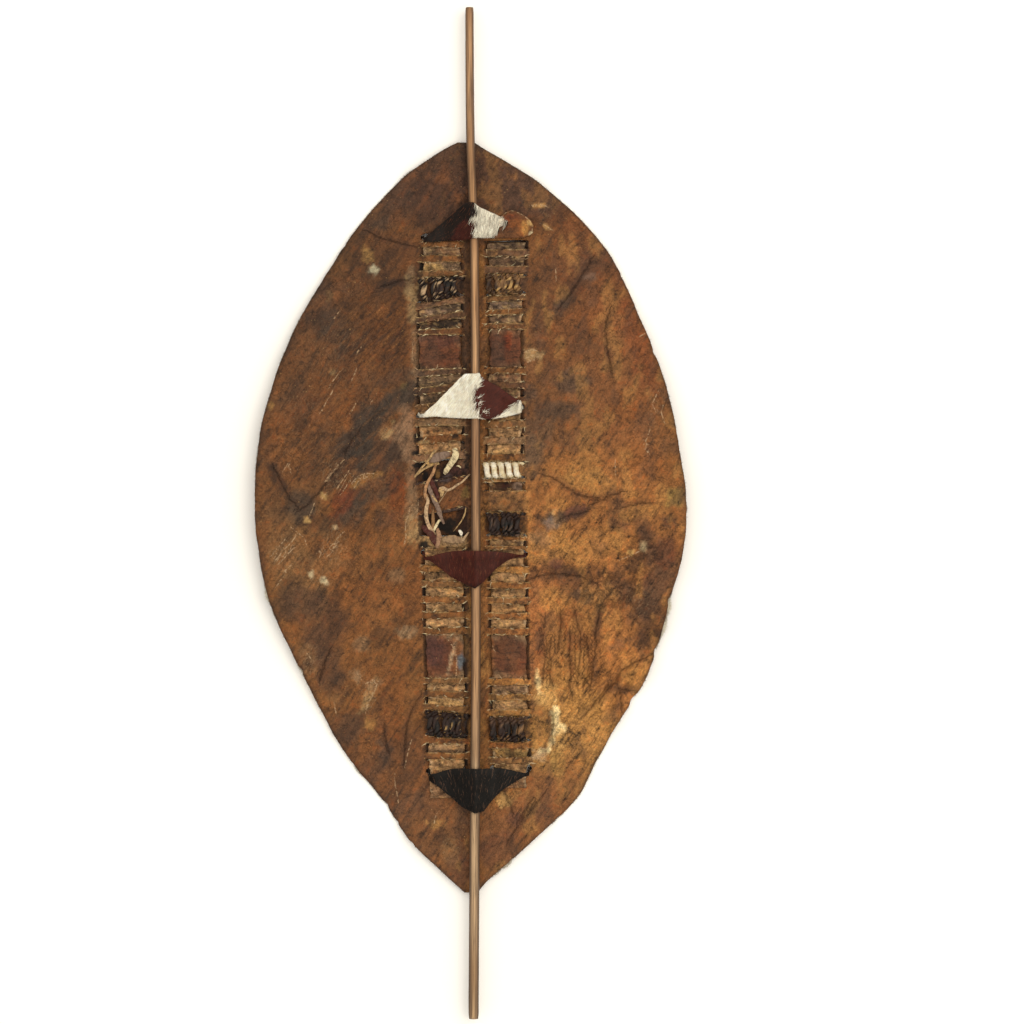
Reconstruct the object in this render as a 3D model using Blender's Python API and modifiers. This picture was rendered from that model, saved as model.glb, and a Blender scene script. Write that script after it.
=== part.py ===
"""A pointed oval rawhide shield with its stick, lying hair side down with the laced back up.

The stick lies along Y, its top end at +Y, and the shield's lowest point is at z = 0. Lengths are in metres.
"""

import math

import bmesh
import bpy

# The hide
hide_length = 0.901
hide_width = 0.517
hide_top = 0.445  # Y of its upper tip
hide_thickness = 0.0025
gap = 0.0003  # between pieces that touch

# How the hide lies: a raised band along the stick, two lines that touch the floor, and a rim that curls up
band_half_width = 0.073
floor_line = 0.105
floor_clearance = 0.0034  # under the lowest bar
rim_rise = 0.019
rim_ripple = 0.003  # height of the waves of its lower right rim
ripple_length = 0.066  # from one wave to the next
ripple_shift = 0.0063
ripple_fade = 0.083  # over which the waves set in, down from the middle
row_margin = 0.018  # from the rows of a tip to the first row of the lacing
row_merge = 0.0012  # a row nearer than this to a slit's end is left out

# The stick, round, a little crooked, and thicker below
stick_length = 1.212
stick_top_diameter = 0.0102
stick_bottom_diameter = 0.0126
stick_stations = (0.0, 0.02, 0.06, *(0.13 + 0.0775 * i for i in range(11)), 0.94, 0.98, 1.0)

# The lacing: two columns of bars cut in the hide, pushed by turns up and down round a strip
strip_thickness = 0.002
slit_width = 0.0015
bar_ramp = 0.0055  # how far from its end a bar reaches its full height
strip_inset = 0.0065
strip_step = 0.045  # longest run of a strip between two of its rows
wrap_lift = 0.0045  # a wound bar stands higher than the others
wrap_slit = 0.0033
thong_width = 0.006
thong_thickness = 0.002
thong_turns = 5
wrap_slack = 0.00035  # between a thong and the face it is wound on, over the gap
wrap_edge_slack = 0.0006  # and past a bar's long edges
wrap_corner = 0.0002  # how far past a bar's edge a thong turns
wrap_shoulder = 0.0008  # half of its upright run there

# The straps of hide with its hair on, bent over the stick
strap_thickness = 0.0022
tail_width = 0.007
tail_lean = 0.0015
tail_depth = 0.0045  # below the middle of the hide
heel_height = 0.0070  # above the middle of the hide, where a strap leaves its hole
heel_reach = 0.0055
throat_share = 0.76  # of the heel's height: there the strap is already as narrow as its tail
strap_slack = 0.0004  # between a strap and the stick, over the gap
strap_bend = (-62, -31, 0, 31, 62)  # degrees round the stick
strap_sag = 0.0006
strap_cuts = (0.0, 0.33, 0.67, 1.0)  # shares at which its width and its slopes are divided
loose_start = 0.028  # past this distance from the stick the top strap's loose end lies on the hide
torn_thong_diameter = 0.0036

mm = 0.001
bar_lift = hide_thickness / 2 + strip_thickness / 2 + gap
band_height = floor_clearance + bar_lift + hide_thickness / 2

# The middle of a wound thong over its bar's middle, and out from its bar's long edge
wrap_rise = hide_thickness / 2 + gap + thong_thickness / 2 + wrap_slack
wrap_out = thong_thickness / 2 + gap + wrap_edge_slack

# Where the stick's axis runs: share of its length from the top, and X
stick_line = (
    (0.00, -1.8 * mm),
    (0.02, -1.8 * mm),
    (0.13, -0.6 * mm),
    (0.24, 4.0 * mm),
    (0.45, 5.4 * mm),
    (0.62, 6.0 * mm),
    (0.80, 4.6 * mm),
    (0.98, 3.2 * mm),
    (1.00, 3.2 * mm),
)

# The hide's outline: share of its length from the upper tip, and its edges as shares of half its width
outline = (
    (0.000, -0.063, 0.016),
    (0.008, -0.118, 0.058),
    (0.024, -0.206, 0.155),
    (0.051, -0.332, 0.304),
    (0.104, -0.503, 0.517),
    (0.157, -0.633, 0.661),
    (0.237, -0.796, 0.791),
    (0.317, -0.912, 0.898),
    (0.397, -0.981, 0.960),
    (0.490, -1.000, 1.000),
    (0.557, -0.977, 0.977),
    (0.610, -0.935, 0.921),
    (0.663, -0.861, 0.875),
    (0.716, -0.768, 0.810),
    (0.770, -0.675, 0.694),
    (0.823, -0.564, 0.587),
    (0.876, -0.415, 0.490),
    (0.929, -0.290, 0.295),
    (0.956, -0.197, 0.193),
    (0.983, -0.095, 0.081),
    (1.000, -0.030, 0.030),
)
tip_shares = (0.0, 0.008, 0.024, 0.051, 0.090, 0.126)
foot_shares = (0.860, 0.900, 0.935, 0.965, 0.985, 1.0)

# The two columns: the stretches of bars from the top down, each with its height.
# U and D are bars pushed up and down, B and P broad ones up and down, W a wound bar and S a strap's hole.
left_column = {
    "top": 336.0 * mm,
    "stretches": (
        ("S", 9.0 * mm),
        ("UDUDU", 44.4 * mm),
        ("W", 26.4 * mm),
        ("UDUDU", 43.2 * mm),
        ("P", 39.6 * mm),
        ("UDUDU", 49.8 * mm),
        ("S", 9.6 * mm),
        ("UDUDU", 51.6 * mm),
        ("P", 22.8 * mm),
        ("B", 38.4 * mm),
        ("P", 28.8 * mm),
        ("U", 14.4 * mm),
        ("S", 10.8 * mm),
        ("DUDUDUDUDU", 93.0 * mm),
        ("P", 51.6 * mm),
        ("UDUDU", 40.8 * mm),
        ("W", 30.0 * mm),
        ("UDUD", 37.2 * mm),
        ("S", 9.6 * mm),
    ),
    "outer": ((0.0, -60 * mm), (0.17, -66 * mm), (0.43, -66 * mm), (0.60, -60 * mm), (1.0, -54 * mm)),
    "inner": ((0.0, -9.6 * mm), (0.43, -7.2 * mm), (0.77, -4.8 * mm), (1.0, -3.6 * mm)),
}
right_column = {
    "top": 327.0 * mm,
    "stretches": (
        ("DUDU", 39.6 * mm),
        ("W", 25.2 * mm),
        ("UDUDU", 42.0 * mm),
        ("P", 44.4 * mm),
        ("UDUDU", 44.4 * mm),
        ("S", 9.6 * mm),
        ("DUDUDU", 60.0 * mm),
        ("W", 20.4 * mm),
        ("U", 4.8 * mm),
        ("D", 9.6 * mm),
        ("B", 26.4 * mm),
        ("W", 28.2 * mm),
        ("UDU", 16.8 * mm),
        ("S", 9.6 * mm),
        ("DUDUDUDUDU", 93.0 * mm),
        ("P", 51.6 * mm),
        ("UDUDU", 45.6 * mm),
        ("W", 30.0 * mm),
        ("UDU", 27.6 * mm),
        ("S", 10.8 * mm),
    ),
    "outer": ((0.0, 69.6 * mm), (0.17, 63.6 * mm), (0.43, 64.8 * mm), (0.60, 68.4 * mm), (1.0, 73.2 * mm)),
    "inner": ((0.0, 15.6 * mm), (0.17, 19.2 * mm), (0.43, 15.6 * mm), (0.60, 19.2 * mm), (1.0, 22.8 * mm)),
}
wound_names = {
    "left": ("wrap_left_top", "wrap_left_bottom"),
    "right": ("wrap_right_top", "wrap_right_white", "wrap_right_middle", "wrap_right_bottom"),
}

# The straps whose tails go through the holes of each column, from the top down
hole_names = {
    "left": ("strap_top", "strap_upper", "strap_lower", "strap_bottom"),
    "right": ("strap_upper", "strap_lower", "strap_bottom"),
}

# Each strap: the Y of its upper and lower edges at X distances from the stick's axis, left to right.
# The first and last are at the holes that take its tails, except where the end lies loose on the hide.
straps = {
    "strap_top": {
        "edges": (
            (-45 * mm, 341 * mm, 326 * mm),
            (-30 * mm, 350 * mm, 326 * mm),
            (-15 * mm, 362 * mm, 327 * mm),
            (-3 * mm, 372 * mm, 330 * mm),
            (5 * mm, 372 * mm, 332 * mm),
            (16 * mm, 363 * mm, 333 * mm),
            (31 * mm, 354 * mm, 334 * mm),
            (44 * mm, 363 * mm, 331 * mm),
            (60 * mm, 361 * mm, 331 * mm),
            (71 * mm, 350 * mm, 337 * mm),
        ),
        "colour": (0.030, 0.016, 0.011),
    },
    "strap_upper": {
        "edges": (
            (-48 * mm, 131 * mm, 118 * mm),
            (-30 * mm, 149 * mm, 116 * mm),
            (-10 * mm, 167 * mm, 114 * mm),
            (6 * mm, 167 * mm, 113 * mm),
            (14 * mm, 162 * mm, 112 * mm),
            (30 * mm, 150 * mm, 114 * mm),
            (44 * mm, 138 * mm, 120 * mm),
        ),
        "colour": (0.55, 0.46, 0.34),
    },
    "strap_lower": {
        "edges": (
            (-46 * mm, -50 * mm, -60 * mm),
            (-30 * mm, -47 * mm, -74 * mm),
            (-14 * mm, -45 * mm, -83 * mm),
            (-1 * mm, -45 * mm, -90 * mm),
            (8 * mm, -45 * mm, -82 * mm),
            (24 * mm, -46 * mm, -67 * mm),
            (38 * mm, -48 * mm, -57 * mm),
        ),
        "colour": (0.055, 0.012, 0.008),
    },
    "strap_bottom": {
        "edges": (
            (-48 * mm, -312 * mm, -324 * mm),
            (-30 * mm, -307 * mm, -337 * mm),
            (-15 * mm, -306 * mm, -351 * mm),
            (0 * mm, -306 * mm, -359 * mm),
            (10 * mm, -306 * mm, -356 * mm),
            (24 * mm, -306 * mm, -337 * mm),
            (42 * mm, -309 * mm, -322 * mm),
        ),
        "colour": (0.012, 0.011, 0.010),
    },
}

# The strips woven through the bars: Y of their ends, and of the loose flap below the last hole
strip_left_ends = (330.0 * mm, 66.0 * mm)  # torn off at the lower one
strip_left_low_ends = (-30.0 * mm, -342.0 * mm)
strip_right_ends = (324.6 * mm, -330.0 * mm)
flap_start = 6.0 * mm  # how far below the last hole a flap lies flat on the hide
flap_turn = 12.0 * mm  # how far below the last bar it has moved to its own side
flap_edge = {"left": -43.0 * mm, "right": 60.0 * mm}  # X of a flap's outer side
flap_narrowing = {"left": 0.15, "right": 0.25}  # share of its width that it loses

# The thong left from a torn winding: X and Y along it, and its height over the hide's middle
torn_route = (
    (-52.0, 58.0, 6.2),
    (-54.0, 49.0, 6.6),
    (-55.5, 38.0, 6.4),
    (-55.0, 27.0, 6.2),
    (-57.0, 16.0, 6.2),
    (-55.5, 5.0, 6.2),
    (-53.0, -4.0, 5.6),
    (-50.0, -13.0, 4.2),
    (-47.0, -21.0, 5.0),
    (-44.0, -27.0, 6.3),
    (-42.0, -38.0, 6.2),
)
stub_route = ((-18.0, 76.0, 5.4), (-21.0, 68.0, 5.6), (-26.0, 60.0, 5.0), (-31.0, 51.0, 3.6))

hide_levels = 27  # rows of the hide's coarse faces along the lacing
outer_shares = (0.235, 0.6)  # where the coarse faces part between a column and the rim


def smooth(points, at):
    """The value at `at` on a smooth curve through (place, value) pairs in rising order."""
    count = len(points)
    low = max(i for i in range(count - 1) if i == 0 or points[i][0] <= at)
    (p0, v0), (p1, v1) = points[low], points[low + 1]

    def slope(i):
        before, after = points[max(i - 1, 0)], points[min(i + 1, count - 1)]
        return (after[1] - before[1]) / (after[0] - before[0])

    span = p1 - p0
    t = (at - p0) / span
    start, end = slope(low) * span, slope(low + 1) * span
    return (
        v0 * (2 * t**3 - 3 * t**2 + 1)
        + start * (t**3 - 2 * t**2 + t)
        + v1 * (3 * t**2 - 2 * t**3)
        + end * (t**3 - t**2)
    )


def straight(points, at):
    """The value at `at` on straight runs through (place, value) pairs in rising order."""
    for (p0, v0), (p1, v1) in zip(points, points[1:]):
        if at <= p1:
            return v0 + (v1 - v0) * max(at - p0, 0.0) / (p1 - p0)
    return points[-1][1]


def stick_share(y):
    return 0.5 - y / stick_length


def stick_x(y):
    return smooth(stick_line, stick_share(y))


def stick_radius(y):
    share = stick_share(y)
    return (stick_top_diameter * (1 - share) + stick_bottom_diameter * share) / 2


def stick_height(y):
    return band_height + hide_thickness / 2 + gap + stick_radius(y)


axis_x = stick_x(0.0)


def edges(y):
    """The hide's left and right edges at y, before they are fitted to the hide's width."""
    share = (hide_top - y) / hide_length
    left = smooth([(s, a) for s, a, b in outline], share)
    right = smooth([(s, b) for s, a, b in outline], share)
    return left, right


def rim_height(x, y):
    """Height of the hide's middle surface where it isn't cut."""
    side = abs(x - axis_x)
    if side <= band_half_width:
        return band_height
    rest = hide_thickness / 2
    if side < floor_line:
        t = (side - band_half_width) / (floor_line - band_half_width)
        return rest + (band_height - rest) * (1 + math.cos(math.pi * t)) / 2
    out = (side - floor_line) / (hide_width / 2 - floor_line)
    wave = math.sin(2 * math.pi * (y + ripple_shift) / ripple_length)
    ripple = rim_ripple * out * wave * min(1.0, -y / ripple_fade) if x > 0 and y < 0 else 0.0
    return rest + rim_rise * out**2 + ripple


def bars_of(column):
    """A column's bars and holes from the top down: the kind, Y of the top and bottom, and the lift of each."""
    lifts = {"U": bar_lift, "B": bar_lift, "D": -bar_lift, "P": -bar_lift, "W": wrap_lift, "S": 0.0}
    bars = []
    y = column["top"]
    for pattern, height in column["stretches"]:
        step = height / len(pattern)
        for kind in pattern:
            trim = wrap_slit if kind == "W" else slit_width / 2
            bars.append({"kind": kind, "top": y - trim, "bottom": y - step + trim, "lift": lifts[kind]})
            y -= step
    return bars


def column_foot(column):
    return column["top"] - sum(height for pattern, height in column["stretches"])


def column_side(column, side, y):
    """X of a column's outer or inner ends at y, which spreads straight on above and below the column."""
    share = (column["top"] - y) / (column["top"] - column_foot(column))
    return straight(column[side], min(max(share, 0.0), 1.0))


lacing_top = max(left_column["top"], right_column["top"])
lacing_foot = min(column_foot(left_column), column_foot(right_column))


def levels_of_hide():
    """Y of the hide's coarse rows: the upper tip's, the lacing's and the lower tip's."""
    tip = [hide_top - share * hide_length for share in tip_shares]
    foot = [hide_top - share * hide_length for share in foot_shares]
    first, last = tip[-1] - row_margin, foot[0] + row_margin
    middle = [first + (last - first) * i / (hide_levels - 1) for i in range(hide_levels)]
    return tip, middle, foot


def fitted_edges(y, levels):
    left, right = edges(y)
    reach_left = max(-edges(level)[0] for level in levels)
    reach_right = max(edges(level)[1] for level in levels)
    return left / reach_left * hide_width / 2, right / reach_right * hide_width / 2


def column_lines(column, y, left, right):
    """X of a column's four lines at y, from its outer end in. Towards the tips they close up with the hide."""
    y_near = min(max(y, lacing_foot), lacing_top)
    near_left, near_right = fitted_edges(y_near, hide_rows)
    outer, inner = column_side(column, "outer", y_near), column_side(column, "inner", y_near)
    ramp = bar_ramp if outer < inner else -bar_ramp
    places = (outer, outer + ramp, inner - ramp, inner)
    return [left + (x - near_left) / (near_right - near_left) * (right - left) for x in places]


tip_rows, middle_rows, foot_rows = levels_of_hide()
hide_rows = tip_rows + middle_rows + foot_rows


def line_of(mesh, places):
    """Vertices down one line of the hide, from (x, y, lift) places."""
    downwards = sorted(places, key=lambda place: -place[1])
    return [mesh.verts.new((x, y, rim_height(x, y) + lift)) for x, y, lift in downwards]


def stretch(line, top, bottom):
    """The line's vertices from the one nearest the level `top` to the one nearest `bottom`."""
    first = min(range(len(line)), key=lambda i: abs(line[i].co.y - top))
    last = min(range(len(line)), key=lambda i: abs(line[i].co.y - bottom))
    return line[first : last + 1]


def fill_between(mesh, left, right, levels, holes=()):
    """Faces between two lines, one for each pair of levels, left out where a pair is a hole."""
    for top, bottom in zip(levels, levels[1:]):
        if (top, bottom) in holes:
            continue
        mesh.faces.new(stretch(left, top, bottom) + stretch(right, top, bottom)[::-1])


def with_rows(cuts, rows):
    """The cuts' levels and those rows that aren't near a cut."""
    return cuts + [row for row in rows if min(abs(row - cut) for cut in cuts) > row_merge]


def column_mesh(mesh, column):
    """A column's four lines, and its faces with the slits between its bars left open."""
    bars = bars_of(column)
    cuts, holes, lifts = [], set(), {}
    y = column["top"]
    for bar in bars:
        holes.add((y, bar["top"]))
        cuts += [y, bar["top"]]
        lifts[y] = lifts.get(y, 0.0)
        lifts[bar["top"]] = lifts[bar["bottom"]] = bar["lift"]
        if bar["kind"] == "S":
            holes.add((bar["top"], bar["bottom"]))
        y = bar["bottom"]
    foot = column_foot(column)
    holes.add((y, foot))
    cuts += [y, foot]
    lifts[foot] = 0.0
    ends = [row for row in tip_rows + foot_rows if row > column["top"] or row < foot]
    inside = [row for row in hide_rows if row not in ends]
    fine = sorted(set(cuts + ends), reverse=True)
    shared = with_rows(list(set(cuts)), inside) + ends
    rows = {"edge": sorted(shared, reverse=True), "bar": fine}
    lines = []
    for number, kind in enumerate(("edge", "bar", "bar", "edge")):
        places = []
        for level in rows[kind]:
            left, right = fitted_edges(level, hide_rows)
            x = column_lines(column, level, left, right)[number]
            places.append((x, level, lifts.get(level, 0.0) if kind == "bar" else 0.0))
        lines.append(line_of(mesh, places))
    across = lines if column is left_column else lines[::-1]
    for one, other in zip(across, across[1:]):
        fill_between(mesh, one, other, fine, holes)
    return across


def hide_mesh():
    """The whole hide as one open sheet, coarse towards the rim and fine along the two columns."""
    mesh = bmesh.new()
    left_lines = column_mesh(mesh, left_column)
    right_lines = column_mesh(mesh, right_column)

    def outer_lines(column, side):
        lines = []
        for share in outer_shares + (1.0,):
            places = []
            for level in hide_rows:
                ends = fitted_edges(level, hide_rows)
                start = column_lines(column, level, *ends)[0]
                places.append((start + (ends[side] - start) * share, level, 0.0))
            lines.append(line_of(mesh, places))
        return lines

    across = outer_lines(left_column, 0)[::-1] + [left_lines[0]]
    for one, other in zip(across, across[1:]):
        fill_between(mesh, one, other, hide_rows)
    fill_between(mesh, left_lines[-1], right_lines[0], hide_rows)
    across = [right_lines[-1]] + outer_lines(right_column, 1)
    for one, other in zip(across, across[1:]):
        fill_between(mesh, one, other, hide_rows)
    return mesh


def material(name, colour, roughness):
    made = bpy.data.materials.new(name)
    made.use_nodes = True
    shader = made.node_tree.nodes["Principled BSDF"]
    shader.inputs["Base Color"].default_value = (*colour, 1.0)
    shader.inputs["Roughness"].default_value = roughness
    shader.inputs["Metallic"].default_value = 0.0
    return made


def add_object(name, data, finish):
    made = bpy.data.objects.new(name, data)
    made.data.materials.append(finish)
    shield.objects.link(made)
    made.parent = ground
    return made


def add_sheet(name, mesh, thickness, finish):
    """A thin piece from an open sheet, thickened evenly on both sides."""
    data = bpy.data.meshes.new(name)
    mesh.to_mesh(data)
    mesh.free()
    made = add_object(name, data, finish)
    solid = made.modifiers.new("thickness", "SOLIDIFY")
    solid.thickness = thickness
    solid.offset = 0.0
    return made


def grid_mesh(rows):
    """An open sheet through rows of points, all with as many points."""
    mesh = bmesh.new()
    verts = [[mesh.verts.new(point) for point in row] for row in rows]
    for upper, lower in zip(verts, verts[1:]):
        for a, b, c, d in zip(upper, lower, lower[1:], upper[1:]):
            mesh.faces.new((a, b, c, d))
    return mesh


def make_hide():
    add_sheet("shield_hide", hide_mesh(), hide_thickness, material("rawhide", (0.13, 0.055, 0.024), 0.6))


def make_stick():
    """The stick as one curve with a radius at each point. Its end runs lie along Y, so its ends are square."""
    curve = bpy.data.curves.new("stick", "CURVE")
    curve.dimensions = "3D"
    curve.bevel_depth = 1.0
    curve.bevel_resolution = 4
    curve.use_fill_caps = True
    spline = curve.splines.new("POLY")
    spline.points.add(len(stick_stations) - 1)
    for point, share in zip(spline.points, stick_stations):
        near = min(max(share, stick_stations[1]), stick_stations[-2])
        y = stick_length * (0.5 - near)
        point.co = (stick_x(y), stick_length * (0.5 - share), stick_height(y), 1.0)
        point.radius = stick_radius(y)
    add_object("stick", curve, material("stick_wood", (0.30, 0.18, 0.11), 0.55))


def strip_rows(column, top, bottom):
    """Y and height of a woven strip's middle: level among the bars, dipping under each wound one."""
    dip = wrap_lift - wrap_rise - thong_thickness / 2 - gap - strip_thickness / 2
    bars = bars_of(column)
    rows = []
    for before, bar, after in zip(bars, bars[1:], bars[2:]):
        if bar["kind"] != "W" or not bottom < bar["top"] < top:
            continue
        rows += [
            (min(before["top"], bar["top"] + 2 * wrap_slit) - slit_width, 0.0),
            (bar["top"], min(dip, 0.0)),
            (bar["bottom"], min(dip, 0.0)),
            (max(after["bottom"], bar["bottom"] - 2 * wrap_slit) + slit_width, 0.0),
        ]
    return rows


def make_strip(name, column, side, top, bottom, flap, finish):
    """One woven strip. A flap comes up through the last hole and lies on the hide."""
    foot = column_foot(column)
    stops = [(top, 0.0)] + strip_rows(column, top, bottom)
    last_hole = bars_of(column)[-1]
    if flap:
        flat = hide_thickness / 2 + strip_thickness / 2 + gap
        stops.append((last_hole["top"] - slit_width / 2, 0.0))
        stops += [(foot + slit_width / 2, flat), (foot - flap_start, flat)]
    stops.append((bottom, stops[-1][1]))
    steps = [stops[0]]
    for (y0, z0), (y1, z1) in zip(stops, stops[1:]):
        pieces = max(1, round((y0 - y1) / strip_step))
        steps += [(y0 + (y1 - y0) * i / pieces, z0 + (z1 - z0) * i / pieces) for i in range(1, pieces + 1)]
    rows = []
    for y, z in steps:
        xs = sorted((column_side(column, "outer", y), column_side(column, "inner", y)))
        left, right = xs[0] + strip_inset, xs[1] - strip_inset
        if flap and y < last_hole["top"]:
            slide = min(1.0, (last_hole["top"] - y) / flap_turn)
            width = (right - left) * (1 - flap_narrowing[side] * slide)
            if side == "left":
                left += (flap_edge["left"] - left) * slide
                right = left + width
            else:
                right += (flap_edge["right"] - right) * slide
                left = right - width
        rows.append([(x, y, band_height + z) for x in (left, (left + right) / 2, right)])
    add_sheet(name, grid_mesh(rows), strip_thickness, finish)


def make_wrap(name, column, bar, finish):
    """A flat thong wound round one bar."""
    middle, half = (bar["top"] + bar["bottom"]) / 2, (bar["top"] - bar["bottom"]) / 2
    side, corner = half + wrap_out, half + wrap_corner
    ring = [
        (side, -wrap_shoulder),
        (side, wrap_shoulder),
        (corner, wrap_rise),
        (-corner, wrap_rise),
        (-side, wrap_shoulder),
        (-side, -wrap_shoulder),
        (-corner, -wrap_rise),
        (corner, -wrap_rise),
    ]
    xs = sorted((column_side(column, "outer", middle), column_side(column, "inner", middle)))
    inset = strip_inset + thong_width / 2
    start, end = xs[0] + inset, xs[1] - inset
    points = []
    along = 0.0
    lengths = [math.dist(a, b) for a, b in zip(ring, ring[1:] + ring[:1])]
    whole = sum(lengths) * thong_turns - lengths[-1]
    for turn in range(thong_turns):
        for (y, z), length in zip(ring, lengths):
            x = start + (end - start) * along / whole
            points.append((x, middle + y, band_height + bar["lift"] + z))
            along += length
    half_width = thong_width / 2
    rows = [[(x - half_width, y, z), (x + half_width, y, z)] for x, y, z in points]
    add_sheet(name, grid_mesh(rows), thong_thickness, finish)


def hole_of(side, strap_name):
    """Where a strap's tail goes through: X beside the strip, Y of the hole's middle, and which way is out."""
    column = left_column if side == "left" else right_column
    hole = [bar for bar in bars_of(column) if bar["kind"] == "S"][hole_names[side].index(strap_name)]
    y = (hole["top"] + hole["bottom"]) / 2
    outward = -1 if side == "left" else 1
    return column_side(column, "outer", y) - outward * bar_ramp / 2, y, outward


def bend_of(radius):
    """A strap's bend over the stick: distances from the stick's axis and heights over the hide's middle."""
    axis_height = hide_thickness / 2 + gap + radius
    reach = radius + gap + strap_thickness / 2 + strap_slack
    angles = [math.radians(angle) for angle in strap_bend]
    return [(reach * math.sin(angle), axis_height + reach * math.cos(angle), None) for angle in angles]


def make_strap(name, strap, finish):
    """A strap bent over the stick, its outline read from its edges, with tails down through the hide."""
    sides = strap["edges"]
    upper = [(x, top) for x, top, bottom in sides]
    lower = [(x, bottom) for x, top, bottom in sides]
    y_middle = (sides[len(sides) // 2][1] + sides[len(sides) // 2][2]) / 2
    x_stick, radius = stick_x(y_middle), stick_radius(y_middle)
    ends = []
    for side, names in hole_names.items():
        if name not in names:
            flat = hide_thickness / 2 + strap_thickness / 2 + gap
            ends.append([(x, flat, None) for x, top, bottom in sides if x > loose_start])
            continue
        x, y, outward = hole_of(side, name)
        x -= x_stick
        ends.append(
            [
                (x - outward * heel_reach, heel_height, None),
                (x - outward * heel_reach * throat_share, heel_height * throat_share, y),
                (x, 0.0, y),
                (x + outward * tail_lean, -tail_depth, y),
            ]
        )
    path = bend_of(radius)
    left, right = ends[0][::-1], ends[1]
    slope_left = [between(left[-1], path[0], share) for share in strap_cuts[1:-1]]
    slope_right = [between(path[-1], right[0], share) for share in strap_cuts[1:-1]]
    rows = []
    for x, z, hole_y in left + slope_left + path + slope_right + right:
        high, low = straight(upper, x), straight(lower, x)
        if hole_y is not None:
            high, low = hole_y + tail_width / 2, hole_y - tail_width / 2
        rows.append([(x_stick + x, low + (high - low) * share, band_height + z) for share in strap_cuts])
    add_sheet(name, grid_mesh(rows), strap_thickness, finish)


def between(a, b, share):
    """A point on the way from a to b, sagging a little as stretched skin does."""
    sag = strap_sag * math.sin(math.pi * share)
    return (a[0] + (b[0] - a[0]) * share, a[1] + (b[1] - a[1]) * share - sag, None)


def make_torn_thong(finish):
    """The twisted thong left hanging where the lacing tore, as a round cord."""
    curve = bpy.data.curves.new("thong_torn", "CURVE")
    curve.dimensions = "3D"
    curve.bevel_depth = torn_thong_diameter / 2
    curve.bevel_resolution = 1
    curve.use_fill_caps = True
    spline = curve.splines.new("POLY")
    spline.points.add(len(torn_route) - 1)
    for point, (x, y, z) in zip(spline.points, torn_route):
        point.co = (x * mm, y * mm, band_height + z * mm, 1.0)
    add_object("thong_torn", curve, finish)


def make_white_stub(finish):
    """The flat white end left of the winding that tore off the left column."""
    half = thong_width / 2
    rows = []
    for x, y, z in stub_route:
        rows.append([(x * mm + side, y * mm, band_height + z * mm) for side in (-half, half)])
    add_sheet("thong_white_stub", grid_mesh(rows), thong_thickness, finish)


def stand_on_floor():
    """Lowers everything so that the hide's lowest point is at z = 0."""
    hide = shield.objects["shield_hide"].evaluated_get(bpy.context.evaluated_depsgraph_get())
    ground.location.z = -min(vertex.co.z for vertex in hide.data.vertices)


def build():
    make_hide()
    make_stick()
    strip_skin = material("strip_skin", (0.20, 0.14, 0.09), 0.7)
    make_strip("strip_left_upper", left_column, "left", *strip_left_ends, False, strip_skin)
    make_strip("strip_left_lower", left_column, "left", *strip_left_low_ends, True, strip_skin)
    make_strip("strip_right", right_column, "right", *strip_right_ends, True, strip_skin)
    dark_thong = material("thong_dark", (0.035, 0.022, 0.015), 0.5)
    white_thong = material("thong_white", (0.62, 0.52, 0.36), 0.6)
    for side, column in (("left", left_column), ("right", right_column)):
        wound = [bar for bar in bars_of(column) if bar["kind"] == "W"]
        for name, bar in zip(wound_names[side], wound):
            make_wrap(name, column, bar, white_thong if "white" in name else dark_thong)
    for name, strap in straps.items():
        make_strap(name, strap, material(name + "_hair", strap["colour"], 0.75))
    make_torn_thong(dark_thong)
    make_white_stub(white_thong)
    stand_on_floor()


for old in list(bpy.data.objects):
    bpy.data.objects.remove(old)
shield = bpy.data.collections.new("hide_shield")
bpy.context.scene.collection.children.link(shield)
ground = bpy.data.objects.new("ground", None)
shield.objects.link(ground)
build()
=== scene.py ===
import math

import bmesh
import bpy
import numpy as np
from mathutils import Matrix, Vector
from mathutils.geometry import delaunay_2d_cdt


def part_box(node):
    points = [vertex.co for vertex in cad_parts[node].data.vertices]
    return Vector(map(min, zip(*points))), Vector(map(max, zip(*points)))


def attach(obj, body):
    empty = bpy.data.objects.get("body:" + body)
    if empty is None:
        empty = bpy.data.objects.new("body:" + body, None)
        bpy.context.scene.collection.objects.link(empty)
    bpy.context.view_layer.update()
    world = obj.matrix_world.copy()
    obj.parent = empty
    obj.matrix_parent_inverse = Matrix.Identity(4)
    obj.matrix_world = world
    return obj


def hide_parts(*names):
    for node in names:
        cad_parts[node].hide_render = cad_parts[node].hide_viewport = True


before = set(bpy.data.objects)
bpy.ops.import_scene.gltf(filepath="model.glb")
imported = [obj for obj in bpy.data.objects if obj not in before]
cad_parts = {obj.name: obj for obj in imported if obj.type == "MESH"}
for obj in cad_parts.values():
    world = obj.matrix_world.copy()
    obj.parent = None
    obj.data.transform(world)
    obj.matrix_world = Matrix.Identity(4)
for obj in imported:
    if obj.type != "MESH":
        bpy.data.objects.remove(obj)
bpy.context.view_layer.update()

# camera straight above, and soft light from the upper right
view = {"lens": 100.0, "sensor": 36.0, "place": (0.0492, 0.0012, 3.425)}
lamp = {
    "away": 5.0, "height": 60.0, "turn": 28.0, "size": 5.0, "power": 112.0, "colour": (1.0, 0.93, 0.80),
    "sky": 0.98, "skyColour": (1.0, 0.955, 0.86, 1.0),
}
floor = {"size": 9.0, "tone": 0.98}

camera = bpy.data.objects.new("camera", bpy.data.cameras.new("camera"))
camera.data.lens, camera.data.sensor_width = view["lens"], view["sensor"]
camera.location = view["place"]
bpy.context.scene.collection.objects.link(camera)
bpy.context.scene.camera = camera

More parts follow.
